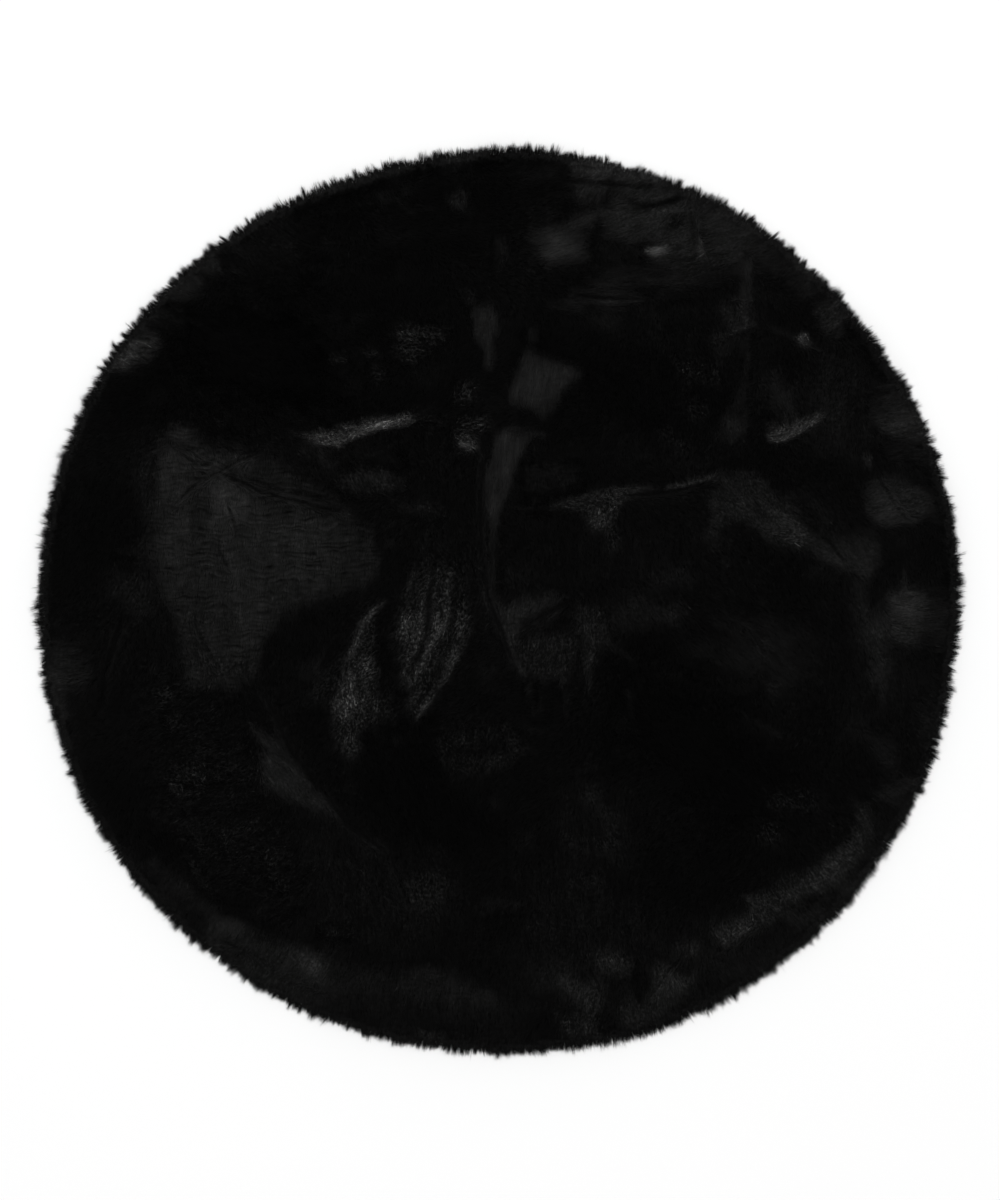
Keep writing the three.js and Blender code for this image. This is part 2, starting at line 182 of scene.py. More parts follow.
RIM_MARKS = [
    # painted sheen along the rim; its darker lines are painted shade
    # upper left
    patch(20.0, 8, [(-425, 245), (-415, 262), (-399, 282), (-385, 294), (-369, 290), (-363, 273),
        (-377, 259), (-401, 249)], heading=150, lean=0.9, rows=1.6, tousle=0.5),
    patch(31.0, 5, [(-420, 250), (-408, 268), (-394, 285), (-388, 280), (-394, 264), (-406, 252)],
        heading=150, lean=0.9, rows=1.6, tousle=0.6),
    patch(12.0, 10, [(-392, 300), (-372, 318), (-345, 316), (-348, 290), (-372, 298)], heading=145,
        rows=0.8),
    patch(17.0, 8, [(-368, 326), (-350, 348), (-330, 364), (-312, 376), (-300, 368), (-300, 354),
        (-316, 348), (-318, 338), (-334, 330)], heading=135, lean=0.88, tousle=0.4),
    stroke(15.0, 5, 3, [(-358, 328), (-340, 328), (-320, 330)], heading=170, lean=0.9),
    stroke(9.0, 4, 2, [(-322, 352), (-318, 338)], heading=120, lean=0.6),
    stroke(15.0, 8, 5, [(-290, 392), (-248, 420), (-205, 440), (-150, 456), (-100, 468)], heading=110),
    # top
    patch(16.0, 8, [(-72, 474), (-60, 482), (-20, 492), (-12, 486), (-20, 478), (-32, 472), (-48, 468)],
        heading=95, lean=0.88, tousle=0.4),
    patch(16.0, 8, [(-55, 428), (-50, 442), (-40, 446), (-34, 436), (-36, 424), (-46, 420)], heading=95,
        tousle=0.7),
    patch(11.0, 10, [(-14, 392), (12, 394), (14, 366), (-6, 352), (-16, 366)], heading=90, tousle=0.5),
    # upper right
    patch(30.0, 8, [(76, 474), (96, 482), (138, 476), (176, 462), (170, 448), (126, 452), (112, 440),
        (102, 426), (84, 434)], heading=70, lean=0.88, rows=0.9, tousle=0.5),
    patch(28.0, 8, [(82, 472), (100, 476), (108, 460), (104, 444), (88, 446)], heading=70, lean=0.9,
        rows=0.8),
    stroke(26.0, 7, 5, [(146, 450), (180, 446), (212, 436)], heading=60, lean=0.88, rows=0.8, tousle=0.5),
    patch(20.0, 8, [(312, 380), (332, 372), (356, 346), (350, 336), (330, 352), (310, 366)], heading=50,
        lean=0.88, tousle=0.4),
    patch(10.5, 14, [(290, 372), (340, 350), (358, 330), (330, 325), (292, 345)], heading=45, tousle=0.5),
    patch(20.0, 9, [(344, 318), (370, 326), (376, 304), (368, 284), (350, 286), (344, 304)], heading=30,
        rows=0.7, tousle=0.7),
    # right
    patch(13.5, 9, [(398, 222), (425, 238), (446, 228), (458, 206), (466, 184), (468, 176), (432, 174),
        (418, 186), (404, 206)], heading=20, lean=0.88, rows=0.7, tousle=0.4),
    patch(21.0, 8, [(402, 202), (424, 206), (450, 206), (462, 190), (464, 176), (430, 174), (408, 182)],
        heading=15, lean=0.9, rows=0.6, tousle=0.4),
    patch(10.5, 10, [(412, 172), (472, 172), (478, 150), (420, 146)], heading=10, rows=0.7),
    patch(26.0, 4, [(392, 154), (398, 161), (405, 156), (404, 147), (396, 146)], heading=280, tousle=0.8),
    patch(19.5, 6, [(394, 116), (400, 129), (416, 134), (432, 134), (442, 128), (458, 122), (466, 112),
        (464, 94), (454, 86), (434, 81), (416, 80), (400, 86), (394, 100)], heading=20, lean=0.9, rows=0.8,
        tousle=0.4),
    patch(24.0, 7, [(400, 118), (414, 124), (432, 112), (440, 92), (424, 80), (404, 86)], heading=20,
        lean=0.9),
    stroke(9.0, 2.5, 1.4, [(412, 126), (424, 113), (432, 99), (442, 89)], heading=300, lean=0.6),
    stroke(14.0, 4, 3, [(462, 118), (470, 100), (464, 88)], heading=0),
    patch(12.0, 14, [(440, 16), (480, 14), (488, -30), (484, -56), (458, -50), (452, 0)], heading=0,
        rows=0.6),
    patch(20.0, 7, [(418, 6), (432, 14), (450, 9), (466, 0), (466, -24), (448, -50), (426, -54),
        (416, -30)], heading=0, lean=0.9, rows=0.7, tousle=0.4),
    patch(27.0, 7, [(422, 4), (438, 12), (456, 8), (456, -20), (438, -28), (424, -18)], heading=0,
        lean=0.9),
    stroke(24.0, 2.5, 1.3, [(437, 36), (441, 26), (437, 16), (436, 9)], heading=280, lean=0.88, rows=0),
    stroke(20.0, 4, 2, [(484, -96), (486, -112), (482, -124)], heading=350),
    patch(14.5, 12, [(384, 0), (400, -4), (420, -6), (415, -38), (430, -60), (424, -80), (412, -92),
        (402, -92), (394, -68), (398, -50), (388, -34)], heading=290, rows=0.5, tousle=0.5),
    patch(19.0, 12, [(402, -14), (422, -14), (418, -42), (404, -44)], heading=290, tousle=0.4),
    stroke(17.0, 4, 4, [(410, -72), (417, -90), (413, -102)], heading=290, rows=1.2),
    patch(10.5, 12, [(448, -110), (468, -108), (470, -140), (452, -150), (446, -136)], heading=340,
        tousle=0.7),
    patch(11.5, 12, [(394, -138), (428, -140), (434, -178), (418, -186), (398, -160)], heading=320,
        rows=1.0),
    patch(14.5, 9, [(404, -206), (425, -193), (452, -192), (457, -204), (432, -219), (414, -216)],
        heading=330, rows=0.5, tousle=0.4),
    patch(15.0, 9, [(383, -214), (401, -220), (406, -242), (396, -272), (383, -256)], heading=300,
        tousle=0.6),
    # lower right
    patch(18.0, 8, [(386, -248), (373, -261), (350, -280), (322, -296), (292, -310), (262, -320),
        (268, -332), (300, -340), (324, -334), (350, -319), (370, -303), (382, -288), (390, -272),
        (394, -258)], heading=312, lean=0.9, rows=0.4, tousle=0.8),
    patch(23.0, 8, [(338, -291), (360, -279), (376, -266), (386, -268), (380, -284), (362, -298),
        (344, -305)], heading=312, lean=0.9, rows=0.4, tousle=0.8),
    stroke(14.0, 5, 3, [(372, -316), (386, -307), (398, -295)], heading=315, lean=0.92, rows=0.5),
    stroke(24.0, 6, 5, [(262, -348), (290, -331), (322, -320), (346, -308)], heading=312, lean=0.9,
        tousle=0.9),
    stroke(8.0, 6, 3, [(300, -342), (330, -322), (370, -308)], heading=310, lean=0.6),
    patch(14.0, 8, [(306, -338), (345, -328), (362, -330), (346, -350), (312, -350)], heading=310,
        tousle=0.5),
    patch(20.0, 7, [(228, -350), (258, -343), (288, -332), (302, -336), (286, -352), (264, -368),
        (250, -381), (240, -378), (234, -362)], heading=300, lean=0.9, rows=0.3, tousle=0.7),
    stroke(30.0, 6, 5, [(246, -365), (257, -359), (270, -352)], heading=300, lean=0.9, tousle=1.0),
    patch(16.0, 8, [(186, -374), (200, -366), (216, -370), (216, -386), (196, -384)], heading=290,
        tousle=0.9),
    patch(9.5, 12, [(225, -385), (262, -385), (302, -365), (300, -392), (262, -412), (230, -408)],
        heading=300, tousle=0.4),
    patch(20.0, 6, [(162, -398), (176, -394), (192, -404), (218, -403), (204, -419), (190, -432),
        (174, -433), (166, -420)], heading=285, lean=0.9, tousle=0.6),
    stroke(23.0, 3.5, 2, [(170, -428), (184, -431), (196, -422)], heading=285, lean=0.9),
    stroke(25.0, 4, 2.5, [(170, -402), (178, -412), (176, -422)], heading=285, lean=0.9, tousle=0.8),
    patch(14.5, 9, [(130, -432), (160, -428), (188, -438), (176, -456), (146, -466), (128, -456)],
        heading=280, rows=0.4, tousle=0.6),
    patch(21.5, 8, [(92, -385), (110, -378), (131, -383), (145, -396), (128, -401), (108, -394)],
        heading=280, tousle=0.8),
    patch(19.0, 8, [(58, -404), (90, -411), (116, -420), (112, -440), (96, -451), (84, -436), (70, -421)],
        heading=275, tousle=0.8),
    patch(11.0, 12, [(30, -388), (80, -385), (80, -402), (50, -410), (28, -400)], tousle=0.6),
    patch(16.0, 8, [(60, -448), (100, -452), (108, -470), (74, -470)], rows=0.8, tousle=1.0),
    stroke(4.5, 6, 3, [(150, -384), (148, -412), (154, -428)], heading=275, lean=0.6),
    # near
    patch(12.0, 10, [(-118, -406), (-86, -397), (-58, -400), (-36, -412), (-8, -424), (2, -434),
        (-40, -434), (-80, -424), (-116, -418)], heading=262, lean=0.88, rows=0.8, tousle=0.5),
    stroke(15.0, 6, 4, [(-104, -404), (-74, -402), (-52, -408), (-30, -420), (-8, -428)], heading=262,
        lean=0.9, rows=0.6),
    stroke(24.0, 3, 3, [(-84, -469), (-72, -474), (-60, -474)], heading=265, tousle=1.0),
    patch(10.0, 12, [(-172, -394), (-124, -400), (-118, -420), (-172, -424)], heading=255, tousle=0.5),
    # lower left
    stroke(14.0, 9, 6, [(-372, -286), (-344, -308), (-318, -330), (-294, -346)], heading=232, tousle=0.4),
    patch(14.0, 8, [(-314, -344), (-296, -344), (-275, -350), (-255, -360), (-230, -372), (-205, -382),
        (-178, -388), (-172, -402), (-190, -413), (-176, -430), (-196, -436), (-216, -438), (-252, -424),
        (-278, -404), (-302, -385), (-322, -365)], heading=240, rows=0.3, tousle=0.5),
    patch(23.0, 8, [(-314, -338), (-288, -342), (-266, -352), (-276, -362), (-304, -360)], heading=240,
        lean=0.9),
    patch(23.0, 8, [(-228, -378), (-208, -374), (-180, -384), (-176, -402), (-200, -404), (-216, -394)],
        heading=245, lean=0.9, tousle=0.6),
    stroke(22.0, 6, 4, [(-210, -400), (-190, -412), (-170, -418)], heading=250, lean=0.9),
    patch(10.5, 10, [(-186, -392), (-150, -398), (-116, -401), (-112, -406), (-150, -410), (-176, -414)],
        heading=250, rows=0.8, tousle=0.5),
    stroke(17.0, 5, 3, [(-276, -372), (-246, -380), (-226, -398)], heading=240, lean=0.88),
    stroke(4.0, 5, 2, [(-300, -338), (-252, -354), (-222, -368), (-192, -378)], heading=240, lean=0.6),
    # left
    patch(16.0, 10, [(-492, -54), (-470, -44), (-450, -46), (-440, -66), (-444, -88), (-466, -100),
        (-482, -100)], heading=190, lean=0.88, rows=1.0, tousle=0.4),
    stroke(7.0, 3, 2, [(-474, -54), (-464, -62), (-454, -60)], heading=190, lean=0.6),
    stroke(20.0, 7, 5, [(-484, -76), (-478, -100), (-470, -124)], heading=188, lean=0.9, rows=0.8),
    stroke(13.0, 4, 1.6, [(-404, -28), (-416, -56), (-424, -84), (-428, -118)], heading=250),
    stroke(12.0, 3, 1.2, [(-412, -24), (-424, -54), (-432, -84)], heading=250),
    stroke(4.0, 4, 1.6, [(-408, -26), (-420, -56), (-428, -84), (-434, -120)], heading=250, lean=0.6),
]

FAR_MARKS = [
    # painted sheen at the upper right
    patch(16.0, 8, [(70, 450), (118, 452), (114, 428), (86, 424), (74, 436)], heading=60, tousle=0.5),
    patch(14.5, 8, [(118, 452), (164, 450), (208, 446), (200, 438), (150, 430), (116, 430)], heading=50,
        rows=0.4, tousle=0.4),
    stroke(18.0, 5, 4, [(134, 438), (150, 446)], heading=60),
    patch(18.5, 9, [(36, 392), (64, 406), (76, 416), (100, 423), (150, 426), (218, 433), (252, 424),
        (292, 402), (308, 386), (290, 372), (250, 374), (226, 380), (172, 372), (160, 386), (130, 386),
        (106, 392), (90, 400)], heading=25, lean=0.88, rows=0.35, tousle=0.4),
    patch(20.5, 9, [(98, 418), (124, 432), (165, 432), (190, 412), (160, 400), (112, 404)], heading=20,
        lean=0.9, rows=0.6, tousle=0.4),
    patch(19.0, 12, [(196, 404), (252, 400), (262, 372), (246, 350), (206, 356), (190, 376)], heading=15,
        rows=0.5, tousle=0.4),
    patch(18.5, 6, [(224, 424), (250, 422), (256, 404), (252, 376), (226, 378)], heading=10, lean=0.9,
        rows=0.8),
    patch(13.0, 10, [(272, 404), (305, 386), (298, 352), (276, 356)], heading=20, tousle=0.4),
    patch(12.0, 12, [(160, 386), (250, 374), (262, 352), (205, 340), (165, 352)], heading=15, tousle=0.5),
    patch(21.0, 7, [(158, 376), (182, 375), (186, 364), (166, 361)], heading=15, tousle=0.4),
    patch(25.0, 8, [(80, 456), (98, 462), (106, 444), (88, 436)], heading=60, tousle=0.5),
    patch(25.0, 9, [(150, 436), (190, 440), (206, 426), (196, 416), (160, 416)], heading=20, tousle=0.6),
    # dark lines of painted shade
    stroke(6.0, 4, 2, [(72, 455), (124, 452), (166, 448)], heading=10, lean=0.6),
    patch(4.5, 4, [(149, 424), (149, 430), (166, 431), (196, 441), (202, 437), (182, 429), (166, 424)],
        heading=10, lean=0.6),
    patch(8.0, 4, [(180, 410), (190, 416), (199, 410), (196, 401), (184, 402)], heading=60, lean=0.6,
        tousle=1.0),
    # painted glint
    patch(50.0, 2, [(158, 376), (161, 380), (172, 384), (183, 384), (178, 378), (170, 374)], heading=15,
        lean=0.92, rows=0, tousle=0.1),
    # a thin line of painted highlight, beside one of painted shade
    stroke(26.0, 2, 1.1, [(220, 428), (216, 415), (215, 402), (216, 392)], heading=262, lean=0.9, rows=0),
    stroke(52.0, 2, 1.2, [(216, 393), (218, 384), (223, 374)], heading=262, lean=0.9, rows=0),
    stroke(7.0, 2, 1.2, [(212, 428), (210, 404), (212, 388)], heading=262, lean=0.6, rows=0),
    # soft, blurred patch of painted sheen
    patch(21.5, 14, [(36, 394), (50, 402), (84, 402), (98, 390), (94, 372), (76, 366), (52, 368),
        (40, 378)], heading=20, lean=0.9, rows=0.1, tousle=0.1),
    patch(29.0, 12, [(46, 386), (58, 394), (80, 392), (84, 378), (66, 370), (50, 374)], heading=20,
        lean=0.9, rows=0.1, tousle=0.1),
    stroke(6.0, 7, 3, [(106, 408), (105, 388), (104, 366)], lean=0.6),
    # streaks of painted sheen under it, with a line of painted shade
    patch(13.5, 10, [(74, 340), (100, 350), (124, 348), (126, 314), (96, 306), (58, 318)], heading=5,
        rows=0.4),
    patch(11.5, 14, [(92, 350), (118, 362), (165, 362), (205, 350), (202, 334), (100, 332)], heading=5,
        rows=0.3),
    stroke(21.0, 5, 4, [(88, 326), (104, 324), (124, 324)], heading=0, lean=0.88, rows=0.2),
    stroke(13.0, 5, 2, [(124, 326), (150, 325)], heading=0, lean=0.88, rows=0.2),
    stroke(12.0, 6, 5, [(50, 320), (80, 321), (130, 316)], heading=0, rows=0.5),
    stroke(14.0, 4, 1.5, [(82, 336), (110, 331), (146, 330)], heading=0, rows=0),
    stroke(4.0, 3, 1.2, [(84, 331), (112, 328), (150, 327)], heading=0, lean=0.6, rows=0),
    patch(10.5, 12, [(90, 318), (130, 316), (128, 298), (104, 300)], heading=300),
    # narrow band of painted sheen and patch right of it
    patch(19.5, 4, [(260, 376), (274, 376), (273, 328), (262, 328)], heading=272, lean=0.9, rows=0.1,
        tousle=0.1),
    stroke(24.0, 3, 1.4, [(250, 327), (273, 327)], heading=0, rows=0),
    patch(15.5, 6, [(240, 325), (273, 325), (274, 301), (256, 292), (244, 300)], heading=268, rows=0.3,
        tousle=0.7),
    patch(15.5, 9, [(228, 290), (246, 296), (258, 288), (248, 272), (230, 272)], heading=265, rows=0.3,
        tousle=0.7),
    stroke(25.0, 3, 1.8, [(227, 280), (242, 284), (256, 291), (273, 297)], heading=25, lean=0.88, rows=0,
        tousle=0.6),
    stroke(13.0, 6, 4, [(250, 280), (240, 268)], heading=260),
    stroke(12.5, 6, 4, [(268, 288), (268, 262), (266, 232)], heading=265, rows=0.2, tousle=0.4),
    stroke(15.0, 4, 2.4, [(290, 296), (306, 288), (320, 283)], heading=-30, rows=0, tousle=0.5),
    # painted glint
    patch(42.0, 3, [(319, 284), (326, 289), (335, 287), (337, 281), (330, 277), (322, 279)], heading=340,
        lean=0.9, rows=0, tousle=1.2),
    stroke(16.0, 4, 2, [(336, 276), (346, 272)], heading=340, rows=0),
    patch(13.5, 8, [(283, 248), (298, 246), (318, 218), (313, 203), (300, 212), (290, 230)], heading=290,
        tousle=0.4),
    patch(12.5, 8, [(296, 212), (318, 208), (330, 196), (312, 190)], heading=280, tousle=0.5),
    patch(15.5, 7, [(237, 198), (246, 208), (268, 204), (272, 190), (266, 180), (252, 175), (240, 186)],
        heading=275, rows=0.5, tousle=0.5),
    stroke(11.0, 8, 6, [(264, 228), (256, 206)]),
    # painted glint
    patch(37.0, 3, [(288, 190), (293, 192), (302, 188), (314, 188), (328, 193), (348, 202), (350, 195),
        (338, 187), (324, 180), (314, 174), (303, 171), (292, 174), (290, 182)], heading=25, lean=0.9,
        rows=0, tousle=1.0),
    stroke(14.0, 3, 1.4, [(292, 182), (304, 178), (320, 184)], heading=25, rows=0),
    # ruffled specks of painted sheen
    patch(13.0, 8, [(172, 180), (180, 186), (196, 178), (206, 166), (200, 160), (186, 168)], heading=250,
        lean=0.7, rows=0.8, tousle=1.3),
    patch(11.0, 8, [(195, 220), (226, 216), (224, 198), (204, 200)], heading=260, lean=0.7, tousle=1.6),
    patch(10.0, 10, [(186, 262), (230, 258), (244, 236), (200, 236)], heading=260, lean=0.7, tousle=1.4),
    # upper left
    stroke(14.0, 2.5, 1.2, [(-186, 385), (-166, 388)], heading=170, rows=0),
    patch(12.0, 8, [(-114, 298), (-98, 304), (-52, 298), (-52, 276), (-76, 268), (-100, 254), (-118, 262),
        (-114, 282)], heading=150, lean=0.75, rows=0.3, tousle=1.5),
    patch(16.5, 4, [(-108, 290), (-94, 300), (-76, 290), (-82, 280), (-100, 276)], heading=140, tousle=1.5),
    patch(14.0, 6, [(-150, 272), (-132, 272), (-122, 262), (-140, 260)], heading=160, tousle=1.3),
    patch(11.5, 6, [(-186, 262), (-166, 268), (-160, 260), (-178, 254)], heading=160, tousle=1.3),
    patch(11.0, 8, [(-134, 254), (-118, 250), (-124, 236), (-138, 240)], heading=160, tousle=1.3),
]

MIDDLE_MARKS = [
    # painted sheen down the middle, with small painted highlights
    patch(17.5, 4, [(-32, 308), (-27, 318), (-6, 319), (0, 306), (3, 288), (-8, 284), (-5, 270), (-5, 255),
        (-10, 245), (-17, 250), (-20, 270), (-29, 288)], heading=88, lean=0.9, rows=0.3),
    patch(14.0, 6, [(-40, 334), (-30, 340), (-24, 326), (-34, 314)], heading=88, tousle=1.0),
    stroke(23.0, 4, 2, [(-13, 274), (-12, 256)], heading=88, lean=0.9),
    patch(19.5, 5, [(24, 268), (36, 273), (50, 262), (70, 256), (83, 252), (97, 246), (86, 237), (78, 228),
        (64, 210), (50, 194), (30, 204), (14, 211), (11, 224), (20, 245)], heading=80, lean=0.92, rows=0.5,
        tousle=0.2),
    patch(22.0, 12, [(30, 256), (62, 252), (66, 230), (46, 214), (28, 226)], heading=80, lean=0.92,
        rows=0.3, tousle=0.1),
    patch(12.0, 7, [(30, 296), (38, 296), (48, 276), (28, 274)], heading=80),
    stroke(26.0, 2.5, 1.5, [(36, 180), (48, 178)], heading=0, rows=0, tousle=1.0),
    patch(19.0, 4, [(-6, 176), (4, 184), (20, 182), (38, 182), (30, 165), (22, 148), (14, 128), (7, 110),
        (0, 90), (-4, 60), (-6, 30), (-4, 4), (6, -24), (3, -26), (-5, 0), (-8, 30), (-10, 60), (-15, 100),
        (-15, 124), (-13, 150)], heading=84, lean=0.93, rows=0.2, tousle=0.1),
    patch(23.0, 9, [(6, 172), (26, 176), (18, 146), (6, 116), (-4, 126)], heading=84, lean=0.93, rows=0.1,
        tousle=0.1),
    patch(12.0, 8, [(-14, 70), (0, 70), (-2, 10), (-8, -4), (-13, 20)], heading=84, lean=0.93, rows=0.1,
        tousle=0.1),
    stroke(24.0, 3, 1.4, [(4, 185), (16, 186), (34, 182)], heading=0, rows=0, tousle=0.6),
    # a line of painted shade along the parting
    stroke(4.0, 2.5, 1.6, [(-18, 182), (-20, 110), (-18, 44), (-12, 2), (2, -34), (12, -62)], heading=262,
        lean=0.55, rows=0, tousle=0),
    patch(14.0, 6, [(-54, 186), (-44, 200), (-12, 204), (-10, 186), (-24, 180)], heading=30, tousle=1.5),
    patch(11.5, 8, [(-56, 212), (-42, 240), (-28, 236), (-26, 208)], heading=60, tousle=1.5),
    patch(17.0, 5, [(-52, 178), (-40, 185), (-28, 183), (-20, 172), (-28, 160), (-44, 162)], heading=330,
        lean=0.9, rows=0, tousle=1.4),
    # painted glint
    patch(50.0, 2.5, [(-45, 172), (-39, 173), (-31, 166), (-35, 162), (-42, 166)], heading=330, lean=0.92,
        rows=0, tousle=0.4),
    # a bright streak of painted highlight
    patch(36.0, 3, [(-228, 184), (-214, 183), (-190, 184), (-165, 190), (-140, 197), (-115, 200),
        (-96, 204), (-92, 197), (-96, 190), (-118, 186), (-140, 182), (-160, 175), (-178, 169), (-200, 168),
        (-211, 177)], heading=12, lean=0.92, rows=0, tousle=1.1),
    patch(46.0, 3, [(-192, 176), (-176, 179), (-160, 182), (-158, 173), (-172, 168), (-188, 169)],
        heading=12, lean=0.92, rows=0, tousle=1.0),
    stroke(60.0, 3, 3.8, [(-156, 181), (-138, 187), (-118, 192), (-98, 197)], heading=12, lean=0.92, rows=0,
        tousle=0.9),
    patch(11.0, 8, [(-95, 204), (-62, 202), (-58, 190), (-92, 190)], heading=10, tousle=1.4),
    patch(14.5, 9, [(-176, 138), (-150, 143), (-116, 141), (-98, 132), (-104, 119), (-130, 113),
        (-156, 110), (-172, 120)], heading=110, rows=1.1, tousle=0.6),
    patch(18.0, 8, [(-136, 136), (-116, 136), (-112, 124), (-130, 120)], heading=110, rows=0.8, tousle=0.7),
    patch(11.5, 8, [(-116, 106), (-60, 105), (-58, 92), (-90, 84), (-116, 92)], heading=110, rows=1.2,
        tousle=0.7),
    patch(9.5, 12, [(-176, 164), (-112, 168), (-104, 148), (-170, 148)], heading=110, rows=1.2),
    patch(10.0, 12, [(20, 150), (90, 148), (95, 118), (30, 112)], heading=100, rows=1.4),
]

LEFT_MARKS = [
    # brushed flat by a whole arm, its sheen painted
    patch(11.0, 18, [(-396, 150), (-384, 176), (-372, 110), (-378, 60), (-372, 0), (-388, -22), (-420, 16),
        (-400, 40), (-390, 70), (-388, 120)], heading=255, rows=0.6, tousle=0.7),
    patch(17.0, 14, [(-374, 166), (-358, 182), (-346, 190), (-334, 184), (-322, 172), (-306, 164),
        (-290, 158), (-262, 158), (-240, 150), (-215, 131), (-190, 114), (-166, 100), (-152, 88),
        (-138, 72), (-130, 56), (-130, 38), (-144, 26), (-170, 15), (-200, 4), (-230, -8), (-248, -26),
        (-260, -48), (-268, -66), (-270, -84), (-290, -92), (-332, -88), (-338, -66), (-344, -40),
        (-352, -16), (-366, 4), (-379, 50), (-375, 84), (-370, 120)], heading=268, lean=0.92, rows=1.5,
        tousle=0.15),
    patch(13.0, 12, [(-268, 154), (-240, 150), (-215, 132), (-188, 116), (-178, 106), (-210, 108),
        (-240, 116), (-268, 130)], heading=268, lean=0.9, rows=1.4, tousle=0.2),
    patch(20.0, 14, [(-264, 90), (-220, 84), (-190, 74), (-178, 50), (-190, 28), (-230, 18), (-262, 28)],
        heading=268, lean=0.92, rows=1.4, tousle=0.1),
    patch(14.0, 14, [(-174, 92), (-150, 84), (-134, 64), (-132, 38), (-150, 18), (-170, 22)], heading=268,
        lean=0.9, rows=1.6, tousle=0.1),
    patch(21.5, 11, [(-366, 150), (-352, 164), (-338, 154), (-334, 100), (-336, 40), (-346, 16), (-360, 50),
        (-364, 110)], heading=268, lean=0.93, rows=1.1, tousle=0.2),
    patch(29.0, 8, [(-358, 190), (-344, 190), (-330, 178), (-350, 170)], heading=268, lean=0.93, rows=1.3),
    patch(20.5, 12, [(-330, 166), (-300, 162), (-272, 154), (-264, 138), (-300, 136), (-330, 140)],
        heading=268, lean=0.92, rows=1.4),
    patch(29.0, 12, [(-314, 122), (-294, 130), (-276, 122), (-272, 90), (-286, 76), (-308, 84)],
        heading=268, lean=0.93, rows=0.9, tousle=0.2),
    patch(20.0, 12, [(-300, 84), (-266, 84), (-258, 30), (-256, -6), (-262, -30), (-274, -44), (-284, -36),
        (-290, 10)], heading=268, lean=0.93, rows=1.1, tousle=0.1),
    patch(15.5, 12, [(-344, -10), (-318, -8), (-312, -60), (-334, -62)], heading=266, rows=1.1, tousle=0.5),
    patch(15.5, 10, [(-334, -62), (-300, -58), (-266, -62), (-266, -80), (-300, -84), (-332, -80)],
        heading=262, rows=1.0, tousle=0.8),
    stroke(15.0, 4, 2, [(-330, 110), (-331, 60), (-328, 10), (-326, -40)], heading=268, rows=0.8),
    # wavy creases of painted shade across it
    stroke(8.0, 4, 2.2, [(-292, 134), (-274, 127), (-258, 118), (-240, 112), (-215, 106), (-178, 99)],
        heading=300, lean=0.6, rows=0),
    stroke(7.0, 2.5, 1.2, [(-262, 129), (-240, 120), (-212, 114), (-186, 110)], heading=300, lean=0.6,
        rows=0),
    stroke(15.0, 6, 3, [(-306, 168), (-292, 172), (-282, 166)], heading=0),
    # slanting crease of painted shade under it and the wedge of painted sheen at its side
    patch(18.0, 8, [(-273, -131), (-262, -138), (-245, -149), (-230, -161), (-221, -178), (-208, -195),
        (-194, -208), (-180, -224), (-170, -234), (-186, -233), (-206, -222), (-236, -212), (-260, -202),
        (-264, -182), (-254, -160), (-264, -148)], heading=312, lean=0.9, rows=0.2, tousle=0.4),
    patch(20.0, 7, [(-240, -168), (-226, -172), (-216, -190), (-222, -202), (-238, -190)], heading=312,
        lean=0.9),
    stroke(3.0, 4, 2.4, [(-258, -94), (-248, -118), (-236, -144), (-212, -184), (-188, -212), (-162, -244),
        (-130, -266)], heading=300, lean=0.5, rows=0, tousle=0),
    # bright curls of painted sheen in the ruffle
    patch(18.0, 5, [(-370, -98), (-358, -95), (-352, -108), (-364, -112)], heading=120, tousle=1.6),
    patch(16.0, 5, [(-362, -130), (-350, -128), (-350, -144), (-360, -142)], heading=60, tousle=1.6),
    stroke(30.0, 3, 1.8, [(-358, -198), (-354, -207), (-346, -212), (-336, -209)], heading=60, tousle=1.0),
    patch(11.5, 8, [(-350, -182), (-320, -176), (-302, -192), (-330, -206), (-350, -198)], heading=100,
        tousle=1.6),
    patch(14.0, 6, [(-330, -256), (-318, -256), (-316, -276), (-326, -280)], heading=100, tousle=1.6),
    stroke(17.0, 4, 2, [(-336, -282), (-326, -296), (-318, -310)], heading=130, tousle=1.2),
    patch(13.5, 6, [(-306, -250), (-292, -252), (-282, -276), (-292, -282)], heading=40, tousle=1.6),
    patch(13.0, 6, [(-258, -266), (-244, -272), (-240, -300), (-250, -296)], heading=80, tousle=1.6),
    patch(14.0, 6, [(-244, -300), (-226, -310), (-228, -320), (-244, -312)], heading=60, tousle=1.6),
    patch(11.0, 8, [(-196, -345), (-160, -348), (-160, -366), (-196, -362)], heading=70, tousle=1.4),
]

